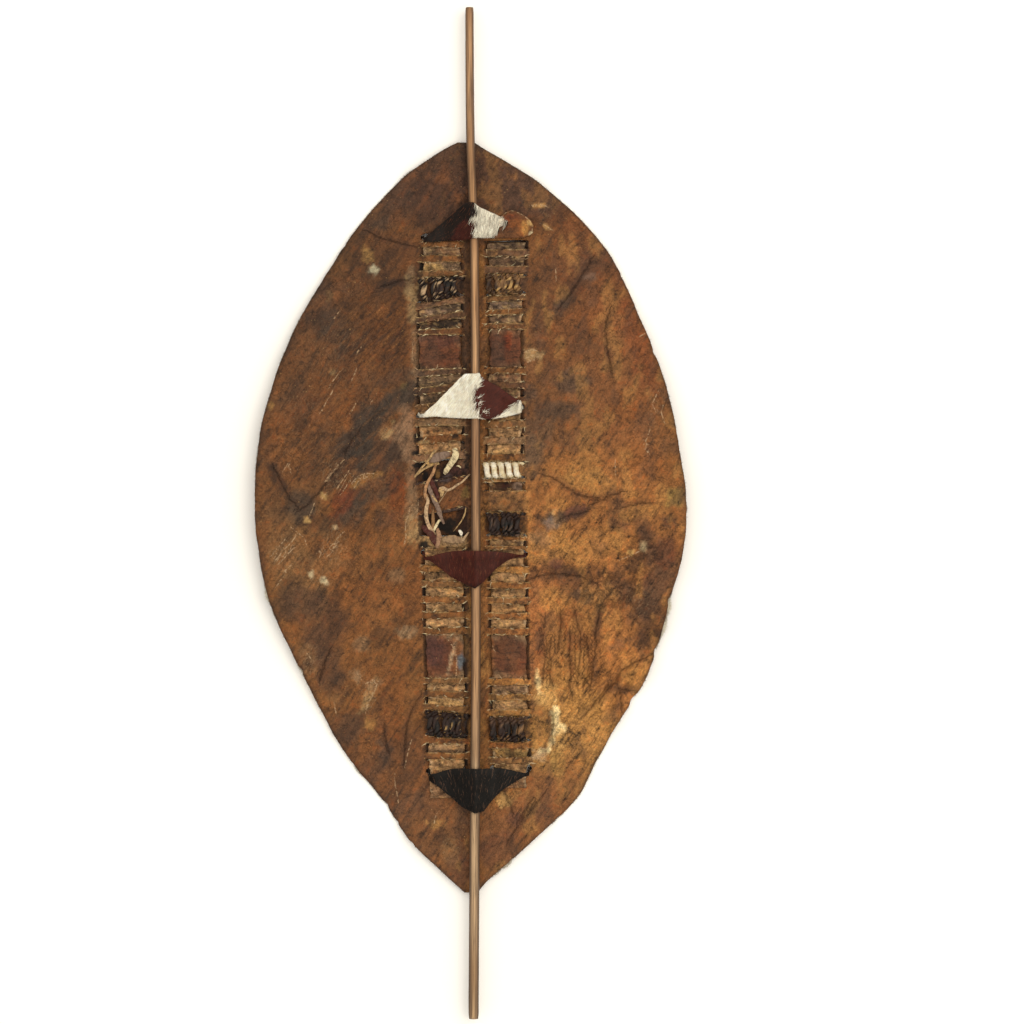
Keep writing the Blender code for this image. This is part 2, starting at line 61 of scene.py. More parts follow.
key = bpy.data.objects.new("key", bpy.data.lights.new("key", "AREA"))
key.data.size, key.data.energy, key.data.color = lamp["size"], lamp["power"], lamp["colour"]
rise, turn = math.radians(lamp["height"]), math.radians(lamp["turn"])
towards = Vector((math.cos(rise) * math.cos(turn), math.cos(rise) * math.sin(turn), math.sin(rise)))
key.location = towards * lamp["away"]
key.rotation_euler = towards.to_track_quat("Z", "Y").to_euler()
bpy.context.scene.collection.objects.link(key)

world = bpy.data.worlds.new("studio")
world.use_nodes = True
world.node_tree.nodes["Background"].inputs["Color"].default_value = lamp["skyColour"]
world.node_tree.nodes["Background"].inputs["Strength"].default_value = lamp["sky"]
bpy.context.scene.world = world
bpy.context.scene.view_settings.view_transform = "Standard"
print("camera and light ready")

# colours by name, as on a paint chart
tones = {
    "rust": "#86522b", "chestnut": "#6d462b", "bark": "#594031", "umber": "#3d2c23", "soot": "#241a15",
    "ash": "#5c4c3e", "slate": "#4a3f36", "ochre": "#946338", "gold": "#a97c46", "straw": "#c9a064",
    "cream": "#dcc9a0", "bone": "#f1e8d4", "dust": "#9a7c5c", "stone": "#80695a", "rose": "#a07a5c",
    "plum": "#553631", "wine": "#471a10", "liver": "#6a3d28", "olive": "#8f7a45", "lilac": "#76696b",
    "steel": "#6a7076", "black": "#110d0b", "honey": "#b98447", "clay": "#83562f", "wheat": "#b69566",
    "taupe": "#6b5241", "cedar": "#744d31", "sienna": "#8a5936", "brick": "#8a3c1e", "tan": "#8a6540",
    "seal": "#2c1912", "coal": "#1d100a", "ivory": "#f4dda6", "reed": "#ad8159", "oat": "#c0a07c",
}


def tone(name):
    parts = [int(tones[name][i : i + 2], 16) / 255 for i in (1, 3, 5)]
    return np.array([c / 12.92 if c < 0.04045 else ((c + 0.055) / 1.055) ** 2.4 for c in parts])


pixel = 0.0012  # metres for each pixel of the photo
photoMiddle = (471.0, 513.0)


def at(px, py):  # a place on the photo in metres
    return (px - photoMiddle[0]) * pixel, (photoMiddle[1] - py) * pixel


def ease(values):  # from 0 to 1 with soft ends
    clipped = np.clip(values, 0.0, 1.0)
    return clipped * clipped * (3 - 2 * clipped)


def cloud(xs, ys, size, seed=0, layers=3):  # soft noise from 0 to 1
    total, weight = 0.0, 0.0
    for layer in range(layers):
        u, v = xs / size * 2**layer + seed * 3.7, ys / size * 2**layer - seed * 1.9
        iu, iv = np.floor(u), np.floor(v)
        fu, fv = ease(u - iu), ease(v - iv)

        def corner(du, dv):
            hashed = np.sin((iu + du) * 127.1 + (iv + dv) * 311.7 + (seed + layer) * 74.7) * 43758.5453
            return hashed - np.floor(hashed)

        low = corner(0, 0) * (1 - fu) + corner(1, 0) * fu
        high = corner(0, 1) * (1 - fu) + corner(1, 1) * fu
        total = total + (low * (1 - fv) + high * fv) / 2**layer
        weight += 1 / 2**layer
    return total / weight


def through(places, values, wanted):  # a smooth curve through points
    places, values, wanted = np.asarray(places, float), np.asarray(values, float), np.asarray(wanted, float)
    before = np.concatenate(([0], np.arange(len(places) - 1)))
    after = np.concatenate((np.arange(1, len(places)), [len(places) - 1]))
    slopes = (values[after] - values[before]) / (places[after] - places[before])
    low = np.clip(np.searchsorted(places, wanted) - 1, 0, len(places) - 2)
    span = places[low + 1] - places[low]
    t = np.clip((wanted - places[low]) / span, 0, 1)
    start = values[low] * (2 * t**3 - 3 * t**2 + 1) + slopes[low] * span * (t**3 - 2 * t**2 + t)
    return start + values[low + 1] * (3 * t**2 - 2 * t**3) + slopes[low + 1] * span * (t**3 - t**2)


def farFrom(xs, ys, px, py, rx, ry):  # how far a point is from a place on the photo, as a share of its reach
    cx, cy = at(px, py)
    return np.hypot((xs - cx) / rx, (ys - cy) / ry) / pixel


def tint(colours, name, share):  # towards a tone, by a share for each point
    colours += (tone(name) - colours) * share[:, None]


def paint(xs, ys, base, patches, ragged=0.9):  # ragged patches, written "tone x,y reach,reach,turn strength;"
    colours = np.tile(tone(base), (len(xs), 1)) if isinstance(base, str) else base.copy()
    for number, patch in enumerate(patches.split(";")):
        name, place, reaches, strength = patch.split()
        cx, cy = at(*map(float, place.split(",")))
        rx, ry, *turned = map(float, reaches.split(","))
        angle = math.radians(sum(turned))
        c, s = math.cos(angle), math.sin(angle)
        u = ((xs - cx) * c + (ys - cy) * s) / (rx * pixel)
        v = ((ys - cy) * c - (xs - cx) * s) / (ry * pixel)
        size = max(0.004, min(rx, ry) * pixel * 0.7)
        rough = ragged * (1.8 if min(rx, ry) < 8 else 1.0)
        reach = np.hypot(u, v) + (cloud(xs, ys, size, number % 17, 4) - 0.5) * rough
        tint(colours, name, float(strength) * ease((1.25 - reach) / 0.65))
    return colours


def route(line):  # places on the photo, written "x,y x,y", in metres
    return np.array([at(*map(float, place.split(","))) for place in line.split()])


def insideRing(px, py, ring):
    x0, y0 = ring[:, 0], ring[:, 1]
    x1, y1 = np.roll(x0, -1), np.roll(y0, -1)
    crosses = (y0[None] > py[:, None]) != (y1[None] > py[:, None])
    span = np.where(y1 == y0, 1e-12, y1 - y0)
    where = x0[None] + (py[:, None] - y0[None]) / span[None] * (x1 - x0)[None]
    return (np.sum(crosses & (px[:, None] < where), axis=1) % 2) == 1


def strokes(xs, ys, lines, fade=0.005):  # signed distance to the nearest line, and how near it is
    signed, nearest = np.full(len(xs), 1.0), np.full(len(xs), 9.0)
    for line in lines.split(";"):
        points = route(line)
        for (x0, y0), (x1, y1) in zip(points, points[1:]):
            dx, dy = x1 - x0, y1 - y0
            t = np.clip(((xs - x0) * dx + (ys - y0) * dy) / (dx * dx + dy * dy), 0, 1)
            ox, oy = xs - x0 - t * dx, ys - y0 - t * dy
            away = np.hypot(ox, oy)
            closer = away < nearest
            nearest = np.where(closer, away, nearest)
            signed = np.where(closer, np.where(dx * oy > dy * ox, away, -away), signed)
    return signed, 1 - ease((nearest - fade * 0.4) / (fade * 0.6))


class Wire:  # a value or colour on its way through a material
    def __init__(self, finish, socket):
        self.finish, self.socket = finish, socket

    def sum(self, operation, first, second):
        return self.finish.node("ShaderNodeMath", {"operation": operation}, {0: first, 1: second})

    def __add__(self, other):
        return self.sum("ADD", self, other)

    __radd__ = __add__

    def __sub__(self, other):
        return self.sum("SUBTRACT", self, other)

    def __rsub__(self, other):
        return self.sum("SUBTRACT", other, self)

    def __mul__(self, other):
        return self.sum("MULTIPLY", self, other)

    __rmul__ = __mul__

    def __truediv__(self, other):
        return self.sum("DIVIDE", self, other)

    def __abs__(self):
        return self.sum("ABSOLUTE", self, 0.0)

    def atLeast(self, least):
        return self.sum("MAXIMUM", self, least)

    def between(self, low, high):  # 0 below low, 1 above high; also falls where low is the larger
        ends = {"Value": self, "From Min": low, "From Max": high}
        return self.finish.node("ShaderNodeMapRange", {"interpolation_type": "SMOOTHSTEP"}, ends)


class Finish:  # one material
    def __init__(self, name, roughness, specular):
        self.material = bpy.data.materials.new(name)
        self.material.use_nodes = True
        self.tree = self.material.node_tree
        self.shader = self.tree.nodes["Principled BSDF"]
        self.shader.inputs["Specular IOR Level"].default_value = specular
        self.shader.inputs["Roughness"].default_value = roughness
        self.place = self.node("ShaderNodeTexCoord", out="Object")

    def node(self, kind, settings=None, sockets=None, out=0):
        made = self.tree.nodes.new(kind)
        for name, value in (settings or {}).items():
            setattr(made, name, value)
        for name, value in (sockets or {}).items():
            if isinstance(value, Wire):
                self.tree.links.new(value.socket, made.inputs[name])
            else:
                made.inputs[name].default_value = value
        return Wire(self, made.outputs[out])

    def painted(self, name, out="Fac"):
        return self.node("ShaderNodeAttribute", {"attribute_name": name}, out=out)

    def stretched(self, across, along, angle, up=1.0):  # places squeezed along one way, for grain
        turn = {"Vector": self.place, "Rotation": (0, 0, -math.radians(angle))}
        scaled = {0: self.node("ShaderNodeMapping", None, turn), 1: (along, across, up)}
        return self.node("ShaderNodeVectorMath", {"operation": "MULTIPLY"}, scaled)

    def noise(self, scale, detail=4.0, roughness=0.55, place=None, out="Fac"):
        sockets = {"Vector": place or self.place, "Scale": scale, "Detail": detail, "Roughness": roughness}
        return self.node("ShaderNodeTexNoise", None, sockets, out)

    def mix(self, share, second, blend="MIX"):  # over the colour so far
        settings = {"data_type": "RGBA", "blend_type": blend}
        self.colour = self.node("ShaderNodeMix", settings, {0: share, 6: self.colour, 7: second}, 2)

    def lay(self, share, name, blend="MIX"):
        self.mix(share, (*tone(name), 1.0), blend)

    def feed(self, socket, wire):
        self.tree.links.new(wire.socket, self.shader.inputs[socket])

    def bump(self, height, distance, strength=1.0):
        sockets = {"Height": height, "Distance": distance, "Strength": strength}
        self.feed("Normal", self.node("ShaderNodeBump", None, sockets))


def ridge(wire):  # 1 where a noise is at its middle
    return 1 - abs(wire - 0.5) * 2


def hideFinish(name, streakAngle, veins=1.0):  # stained rawhide: the flesh side of a skin
    f = Finish(name, 0.5, 0.2)
    f.colour = f.painted("stain", "Color")
    wander = f.noise(34, 3, 0.6, out="Color")
    spread = f.node("ShaderNodeVectorMath", {"operation": "MULTIPLY"}, {0: wander, 1: (0.022, 0.022, 0.022)})
    loose = f.node("ShaderNodeVectorMath", {"operation": "ADD"}, {0: f.place, 1: spread})
    mottle = f.noise(30, 9, 0.68, loose)
    blotch = f.noise(105, 7, 0.72, loose)
    speckle = f.noise(300, 6, 0.78)
    grain = f.noise(850, 3, 0.7)
    streak = f.noise(1, 7, 0.72, f.stretched(190, 30, streakAngle))
    level = mottle * 1.3 + blotch * 1.2 + speckle * 1.5 + grain * 1.1 + streak * 1.3 - 2.29
    worn = f.painted("worn")
    level = level + (speckle * 1.1 + streak * 1.3 + blotch * 1.6 + grain * 0.6 - 2.3) * worn
    bands = f.noise(1, 6, 0.66, f.stretched(150, 28, 42))
    f.lay(bands.between(0.50, 0.38) * f.painted("ribs") * 0.65, "umber")
    f.lay(bands.between(0.52, 0.62) * f.painted("ribs") * 0.4, "ochre")
    f.lay(blotch.between(0.47, 0.30) * 0.6, "umber")
    f.lay(streak.between(0.47, 0.33) * 0.4, "slate")
    f.lay(blotch.between(0.52, 0.68) * 0.4, "honey", "OVERLAY")
    f.lay(mottle.between(0.55, 0.68) * 0.3, "rust")
    f.mix(1.0, level.atLeast(0.14), "MULTIPLY")
    upright = ridge(f.noise(1, 5, 0.6, f.stretched(70, 16, 88)))
    slanting = ridge(f.noise(1, 5, 0.6, f.stretched(84, 24, 47)))
    network = ridge(f.noise(48, 7, 0.66, loose))
    thin = ridge(f.noise(75, 5, 0.62, loose))
    uneven = speckle.between(0.36, 0.56)
    vein = upright.between(0.94, 1.0) * f.painted("veins")
    vein = vein + slanting.between(0.95, 1.0) * f.painted("ribs") * 0.5
    vein = (vein + network.between(0.9, 0.985) * f.painted("crackle")) * uneven * veins
    hairline = thin.between(0.955, 1.0) * mottle.between(0.42, 0.56) * uneven
    f.lay(vein * 0.38, "umber")
    f.lay(hairline * 0.35, "umber")
    drift = f.painted("crease") + (f.noise(140, 4, 0.65) - 0.5) * 0.008
    near = f.painted("creaseNear")
    # darker along the creases, in a wide soft band and a thin core line: painted shade in the fold hollows
    # with the hide's own dark crease stain
    creaseShadeAndStain = abs(drift).between(0.0078, 0.0006) * near * blotch.between(0.3, 0.6)
    crease = abs(drift).between(0.0016, 0.0003) * near * speckle.between(0.38, 0.56)
    f.lay(creaseShadeAndStain * 0.5, "umber")
    f.lay(crease * 0.2, "soot")
    broken = f.noise(330, 4, 0.7).between(0.44, 0.58)
    scratch = abs(f.painted("scratch") + (speckle - 0.5) * 0.002).between(0.0011, 0.0002)
    scratch = scratch * f.painted("scratchNear")
    flaked = f.noise(1, 6, 0.78, f.stretched(520, 190, streakAngle))
    flake = f.painted("scuff") * flaked.between(0.5, 0.66)
    f.lay(scratch * broken * 0.75, "oat")
    f.lay(flake * 0.6, "oat")
    specks = f.noise(560, 2, 0.5).between(0.70, 0.75) * f.noise(30, 2).between(0.42, 0.6)
    f.lay(specks * 0.7, "straw")
    pits = f.noise(620, 2, 0.5).between(0.31, 0.25)
    f.lay(pits * 0.4, "soot")
    f.feed("Base Color", f.colour)
    f.feed("Roughness", 0.36 + mottle * 0.2 + flake * 0.3 + speckle * 0.14)
    height = mottle + blotch * (worn + 0.8) + streak * 0.6 + speckle * 0.5 + grain * 0.25 + flake * 0.1
    f.bump(height - vein * 0.5 - pits * 0.2 - hairline * 0.3 - crease * 0.6 - creaseShadeAndStain * 0.4, 0.0026)
    return f.material


def hairFinish(name):  # short cow hair, in the colours painted on it
    f = Finish(name, 0.45, 0.16)
    f.colour = f.painted("stain", "Color")
    strands = f.noise(1400, 3, 0.6)
    f.mix(1.0, strands * 0.7 + 0.55, "MULTIPLY")
    f.feed("Base Color", f.colour)
    f.bump(strands, 0.0004, 0.5)
    return f.material


def furFinish(name):  # the front of the shield: short hair lying down its length
    f = Finish(name, 0.62, 0.4)
    f.colour = f.painted("stain", "Color")
    strands = f.noise(1, 5, 0.7, f.stretched(900, 130, 90))
    tufts = f.noise(1, 5, 0.6, f.stretched(60, 22, 90))
    f.mix(1.0, strands * 0.9 + tufts * 0.5 + 0.3, "MULTIPLY")
    f.feed("Base Color", f.colour)
    f.feed("Roughness", 0.5 + strands * 0.25)
    f.bump(strands * 0.7 + tufts, 0.0012, 0.8)
    return f.material


def thongFinish(name, gloss):
    f = Finish(name, gloss, 0.3)
    f.colour = f.painted("stain", "Color")
    rough = f.noise(520, 6, 0.75)
    worn = f.noise(190, 4, 0.7)
    f.mix(1.0, rough * 1.5 + 0.1, "MULTIPLY")
    f.lay(worn.between(0.6, 0.7) * 0.35, "clay")
    f.feed("Base Color", f.colour)
    f.feed("Roughness", gloss - 0.12 + rough * 0.35)
    f.bump(rough + worn * 0.6, 0.0011, 0.9)
    return f.material


def woodFinish():
    f = Finish("stickWood", 0.5, 0.25)
    f.colour = f.painted("stain", "Color")
    grain = f.noise(1, 7, 0.7, f.stretched(640, 15, 90, 640))
    band = f.noise(1, 4, 0.6, f.stretched(420, 9, 90, 420))
    f.mix(1.0, grain * 2.6 + band * 0.9 - 0.90, "MULTIPLY")
    pores = grain.between(0.44, 0.36)
    f.lay(pores * 0.6, "bark")
    f.lay(band.between(0.56, 0.42) * 0.25, "taupe")
    f.feed("Base Color", f.colour)
    f.feed("Roughness", 0.4 + grain * 0.22)
    f.bump(grain - pores * 0.4 + band * 0.5, 0.0005, 0.7)
    return f.material


rawhide = hideFinish("rawhide", 57.0)
stripSkin = hideFinish("stripSkin", 6.0, 0.3)
fur = furFinish("cowFur")
hair = hairFinish("cowHair")
thongDark = thongFinish("darkThong", 0.4)
thongCream = thongFinish("creamThong", 0.6)
tornSkin = thongFinish("tornSkin", 0.55)
wood = woodFinish()
print("materials ready")


def piece(name, points, faces, finishes, node, colours, marks=None, finishOf=None):
    data = bpy.data.meshes.new(name)
    data.from_pydata([tuple(point) for point in points], [], [tuple(face) for face in faces])
    shell = bmesh.new()
    shell.from_mesh(data)
    bmesh.ops.recalc_face_normals(shell, faces=shell.faces)  # every skin faces outwards
    shell.to_mesh(data)
    shell.free()
    for finish in finishes:
        data.materials.append(finish)
    data.polygons.foreach_set("use_smooth", [True] * len(data.polygons))
    if finishOf is not None:
        data.polygons.foreach_set("material_index", np.asarray(finishOf, dtype=np.int32))
    stain = np.column_stack((colours, np.ones(len(colours)))).astype(np.float32).ravel()
    data.attributes.new("stain", "FLOAT_COLOR", "POINT").data.foreach_set("color", stain)
    for mark, values in (marks or {}).items():
        layer = data.attributes.new(mark, "FLOAT", "POINT")
        layer.data.foreach_set("value", np.asarray(values, dtype=np.float32))
    made = bpy.data.objects.new(name, data)
    bpy.context.scene.collection.objects.link(made)
    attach(made, "root")
    if node:
        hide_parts(node)


def sheet(top, under):  # a closed skin from two grids of points: its faces, for the points of both
    rows, columns = top.shape[:2]
    faces = []

    def spot(side, row, column):
        return (side * rows + row) * columns + column

    for row in range(rows - 1):
        for column in range(columns - 1):
            a, b = spot(0, row, column), spot(0, row, column + 1)
            c, d = spot(0, row + 1, column + 1), spot(0, row + 1, column)
            faces += [(a, b, c, d), tuple(i + rows * columns for i in (d, c, b, a))]
    rim = [(0, c) for c in range(columns)] + [(r, columns - 1) for r in range(1, rows)]
    rim += [(rows - 1, c) for c in range(columns - 2, -1, -1)] + [(r, 0) for r in range(rows - 2, 0, -1)]
    for one, other in zip(rim, rim[1:] + rim[:1]):
        faces.append((spot(0, *other), spot(0, *one), spot(1, *one), spot(1, *other)))
    points = np.concatenate((top.reshape(-1, 3), under.reshape(-1, 3)))
    return points, faces


def ribbon(middle, half):  # both faces of a skin: middle points, and offsets from them to its two faces
    return sheet(middle + half, middle - half)


def tubeFaces(rings, sides):
    faces = []
    for i in range(rings - 1):
        for j in range(sides):
            k = (j + 1) % sides
            faces.append((i * sides + j, i * sides + k, (i + 1) * sides + k, (i + 1) * sides + j))
    return faces + [tuple(range(sides))[::-1], tuple(range((rings - 1) * sides, rings * sides))]


def tube(path, shapes):  # a closed tube: path points, and for each a ring of (side, up) offsets
    path = [Vector(point) for point in path]
    up = Vector((0, 0, 1))
    points = []
    for i, here in enumerate(path):
        along = (path[min(i + 1, len(path) - 1)] - path[max(i - 1, 0)]).normalized()
        side = along.cross(up).normalized() if abs(along.dot(up)) < 0.999 else Vector((1, 0, 0))
        over = side.cross(along)
        points += [here + side * a + over * b for a, b in shapes[i]]
    return np.array(points), tubeFaces(len(path), len(shapes[0]))


# the hide
hide = {
    "length": 0.901, "width": 0.517, "top": 0.445, "thickness": 0.0025, "gap": 0.0003,
    "bandHalf": 0.073, "floorLine": 0.105, "rimRise": 0.019, "ripple": 0.003, "rippleLength": 0.066,
    "coarse": 0.0031, "fine": 0.00155, "underCoarse": 0.007, "underFine": 0.0032,
    "ripplePhase": 0.0063, "rippleFade": 0.083, "ragged": 0.0022, "edgeShare": 0.72,
}
stick = {
    "length": 1.212, "topWidth": 0.0102, "bottomWidth": 0.0126, "rings": 300, "sides": 20,
    "bendShare": 0.4818,
    "line": (
        (0, 0.02, 0.13, 0.24, 0.45, 0.62, 0.80, 0.98, 1), (-1.8, -1.8, -0.6, 4.0, 5.4, 6.0, 4.6, 3.2, 3.2),
    ),
}


def stickX(ys):
    return through(*stick["line"], 0.5 - np.asarray(ys) / stick["length"]) / 1000


def stickRadius(ys):
    share = 0.5 - ys / stick["length"]
    return (stick["topWidth"] * (1 - share) + stick["bottomWidth"] * share) / 2


axisX = float(stickX(0.0))
# height of the hide's middle under the stick
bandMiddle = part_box("stick")[0].z - hide["gap"] - hide["thickness"] / 2

# share of the length from the upper tip, and the edges as shares of half the width
outline = np.array((
    (0.000, -0.063, 0.016), (0.008, -0.118, 0.058), (0.024, -0.206, 0.155), (0.051, -0.332, 0.304),
    (0.104, -0.503, 0.517), (0.157, -0.633, 0.661), (0.237, -0.796, 0.791), (0.317, -0.912, 0.898),
    (0.397, -0.981, 0.960), (0.490, -1.000, 1.000), (0.557, -0.977, 0.977), (0.610, -0.935, 0.921),
    (0.663, -0.861, 0.875), (0.716, -0.768, 0.810), (0.770, -0.675, 0.694), (0.823, -0.564, 0.587),
    (0.876, -0.415, 0.490), (0.929, -0.290, 0.295), (0.956, -0.197, 0.193), (0.983, -0.095, 0.081),
    (1.000, -0.030, 0.030),
))
edgeYs = hide["top"] - np.linspace(1, 0, 900) * hide["length"]  # rising
edgeLeft = through(outline[:, 0], outline[:, 1], np.linspace(1, 0, 900))
edgeRight = through(outline[:, 0], outline[:, 2], np.linspace(1, 0, 900))
edgeLeft *= hide["width"] / 2 / -edgeLeft.min()
edgeRight *= hide["width"] / 2 / edgeRight.max()

# bites out of the edge: place on the photo, depth and reach in mm
nicks = (
    (345, 247, 1.6, 3), (263, 592, 2.2, 4), (268, 612, 1.8, 3), (300, 671, 2.0, 4), (384, 806, 2.4, 4),
    (397, 822, 1.8, 3), (413, 843, 2.0, 3), (668, 600, 2.4, 5), (655, 650, 3.0, 6), (634, 700, 3.2, 7),
    (560, 821, 2.6, 4), (512, 860, 1.8, 3), (583, 233, 1.5, 3), (621, 277, 1.4, 3), (655, 353, 1.3, 3),
)

leftColumn = {
    "top": 0.336, "side": -1, "outer": ((0, 0.17, 0.43, 0.6, 1), (-60, -66, -66, -60, -54)),
    "inner": ((0, 0.43, 0.77, 1), (-9.6, -7.2, -4.8, -3.6)),
    "bars": "S 9.0 UDUDU 44.4 W 26.4 UDUDU 43.2 P 39.6 UDUDU 49.8 S 9.6 UDUDU 51.6 P 22.8 B 38.4 P 28.8"
    " U 14.4 S 10.8 DUDUDUDUDU 93.0 P 51.6 UDUDU 40.8 W 30.0 UDUD 37.2 S 9.6",
    "tones": "ochre clay tan soot rose taupe chestnut taupe bark tan dust clay rose cedar wheat gold tan"
    " ochre clay clay tan clay tan soot rust clay",
}
rightColumn = {
    "top": 0.327, "side": 1, "outer": ((0, 0.17, 0.43, 0.6, 1), (69.6, 63.6, 64.8, 68.4, 73.2)),
    "inner": ((0, 0.17, 0.43, 0.6, 1), (15.6, 19.2, 15.6, 19.2, 22.8)),
    "bars": "DUDU 39.6 W 25.2 UDUDU 42.0 P 44.4 UDUDU 44.4 S 9.6 DUDUDU 60.0 W 20.4 U 4.8 D 9.6 B 26.4 W 28.2"
    " UDU 16.8 S 9.6 DUDUDUDUDU 93.0 P 51.6 UDUDU 45.6 W 30.0 UDU 27.6 S 10.8",
    "tones": "taupe taupe bark tan clay cedar clay bark cedar tan dust clay tan tan tan soot clay tan gold"
    " clay tan clay clay honey gold gold soot rust tan",
}
slit = {
    "width": 0.0015, "wound": 0.0033, "ramp": 0.0055, "lift": 0.00255, "woundLift": 0.0045, "arch": 0.0005,
    "tilt": 0.0006, "shift": 0.0006, "rings": 30, "hole": 0.008,
}


def readColumn(column):  # its bars from the top down, and the openings between them
    words = column["bars"].split()
    up = slit["lift"]
    lifts = {"U": up, "B": up, "D": -up, "P": -up, "W": slit["woundLift"]}
    y, last, bars, openings = column["top"], column["top"], [], []
    for pattern, height in zip(words[::2], words[1::2]):
        step = float(height) / 1000 / len(pattern)
        for kind in pattern:
            trim = slit["wound"] if kind == "W" else slit["width"] / 2
            if kind != "S":
                bars.append((kind, y - trim, y - step + trim, lifts[kind]))
                openings.append((last, y - trim))
                last = y - step + trim
            y -= step
    openings.append((last, y))
    column.update(foot=y, barList=bars, openings=openings)


def side(column, which, ys):
    share = (column["top"] - np.asarray(ys)) / (column["top"] - column["foot"])
    return np.interp(share, column[which][0], column[which][1]) / 1000


columns = (leftColumn, rightColumn)
for column in columns:
    readColumn(column)


def resample(points, step):  # points at even steps round a closed line
    points = np.vstack((points, points[:1]))
    lengths = np.concatenate(([0], np.cumsum(np.hypot(*np.diff(points, axis=0).T))))
    count = int(lengths[-1] / step)
    wanted = np.linspace(0, lengths[-1], count, endpoint=False)
    return np.column_stack([np.interp(wanted, lengths, points[:, k]) for k in (0, 1)])


def hideRim():
    right = np.column_stack((edgeRight, edgeYs))
    left = np.column_stack((edgeLeft, edgeYs))[::-1]
    rim = resample(np.vstack((right, left)), hide["coarse"])
    outward = np.sign(rim[:, 0] - axisX)
    bite = (cloud(rim[:, 0] + 5, rim[:, 1] + 3, 0.02, 3, 3) - 0.5) * hide["ragged"]
    for px, py, depth, reach in nicks:
        x, y = at(px, py)
        away = np.hypot(rim[:, 0] - x, rim[:, 1] - y)
        bite = bite + depth / 1000 * np.exp(-((away / (reach / 1000)) ** 2))
    room = ease((np.abs(rim[:, 0] - axisX) - 0.01) / 0.03)
    rim[:, 0] -= outward * bite * room
    return rim


def openingRing(column, high, low, number):  # one slit, narrow at its ends
    middle, half = (high + low) / 2, (high - low) / 2
    outer, inner = side(column, "outer", middle), side(column, "inner", middle)
    share = np.linspace(0, 1, slit["rings"])
    keen = 1.0 if half < 0.0012 else 3.0
    spread = half * np.clip(0.3 + 0.7 * np.minimum(1, np.sin(np.pi * share) * keen), 0, 1)
    xs = outer + (inner - outer) * share
    shift = (cloud(xs, share + number, 0.02, 5, 2) - 0.5) * slit["shift"]
    upper = np.column_stack((xs, middle + spread + shift))
    lower = np.column_stack((xs, middle - spread + shift))[::-1]
    ring = np.vstack((upper, lower))
    area = np.sum(ring[:, 0] * np.roll(ring[:, 1], -1) - np.roll(ring[:, 0], -1) * ring[:, 1])
    return ring if area > 0 else ring[::-1]


def hexagons(step, low, high):
    ys = np.arange(low[1], high[1], step * 0.866)
    xs = np.arange(low[0], high[0], step)
    gridX, gridY = np.meshgrid(xs, ys)
    gridX = gridX + (np.arange(len(ys)) % 2)[:, None] * step / 2
    return gridX.ravel(), gridY.ravel()


def sides(column, ys, pad=0.0):  # x of a column's left and right sides, widened by the pad
    outer, inner = side(column, "outer", ys), side(column, "inner", ys)
    return np.minimum(outer, inner) - pad, np.maximum(outer, inner) + pad


def inColumns(xs, ys, pad):
    inside = np.zeros(len(xs), bool)
    for column in columns:
        low, high = sides(column, ys, pad)
        inside |= (xs > low) & (xs < high) & (ys < column["top"] + pad) & (ys > column["foot"] - pad)
    return inside


def nearOpening(xs, ys, pad):
    near = np.zeros(len(xs), bool)
    for column in columns:
        low, high = sides(column, ys, pad)
        across = (xs > low) & (xs < high)
        for top, bottom in column["openings"]:
            near |= across & (ys < top + pad) & (ys > bottom - pad)
    return near


skin = {"jitter": 0.12, "zonePad": 0.0035, "many": 20000}  # points this many are inside the rim as they come


def fillSkin(rings, coarse, fine):  # triangles between the rim and the openings
    low, high = rings[0].min(axis=0), rings[0].max(axis=0)
    kept = []
    for step, isFine in ((coarse, False), (fine, True)):
        xs, ys = hexagons(step, low, high)
        xs = xs + (cloud(xs, ys, step, 8, 1) - 0.5) * step * skin["jitter"]
        inZone = inColumns(xs, ys, skin["zonePad"])
        left, right = np.interp(ys, edgeYs, edgeLeft), np.interp(ys, edgeYs, edgeRight)
        room = (xs > left + step * 0.9) & (xs < right - step * 0.9)
        room &= (ys > edgeYs[0] + step) & (ys < edgeYs[-1] - step)
        take = room & (inZone if isFine else ~inZone)
        take &= ~nearOpening(xs, ys, step * 0.45)
        kept.append(np.column_stack((xs[take], ys[take])))
    inner = np.vstack(kept)
    inner = inner[insideRing(inner[:, 0], inner[:, 1], rings[0])] if len(inner) < skin["many"] else inner
    flat = np.vstack(rings + [inner])
    ringOf = np.full(len(flat), -1)
    edges, start = [], 0
    for number, ring in enumerate(rings):
        ringOf[start : start + len(ring)] = number
        edges += [(start + i, start + (i + 1) % len(ring)) for i in range(len(ring))]
        start += len(ring)
    result = delaunay_2d_cdt([Vector(point) for point in flat], edges, [], 0, 1e-7)
    assert len(result[0]) == len(flat)
    faces = np.array([face for face in result[2] if len(face) == 3])
    a, b, c = flat[faces[:, 0]], flat[faces[:, 1]], flat[faces[:, 2]]
    turned = (b[:, 0] - a[:, 0]) * (c[:, 1] - a[:, 1]) - (b[:, 1] - a[:, 1]) * (c[:, 0] - a[:, 0]) < 0
    faces[turned] = faces[turned][:, ::-1]
    owner = ringOf[faces]
    same = (owner[:, 0] >= 0) & (owner[:, 0] == owner[:, 1]) & (owner[:, 1] == owner[:, 2])
    middle = flat[faces].mean(axis=1)
    keep = np.ones(len(faces), bool)
    for number, ring in enumerate(rings):
        those = np.flatnonzero(same & (owner[:, 0] == number))
        if len(those):
            inside = insideRing(middle[those, 0], middle[those, 1], ring)
            keep[those] = inside if number == 0 else ~inside
    return flat, faces[keep]


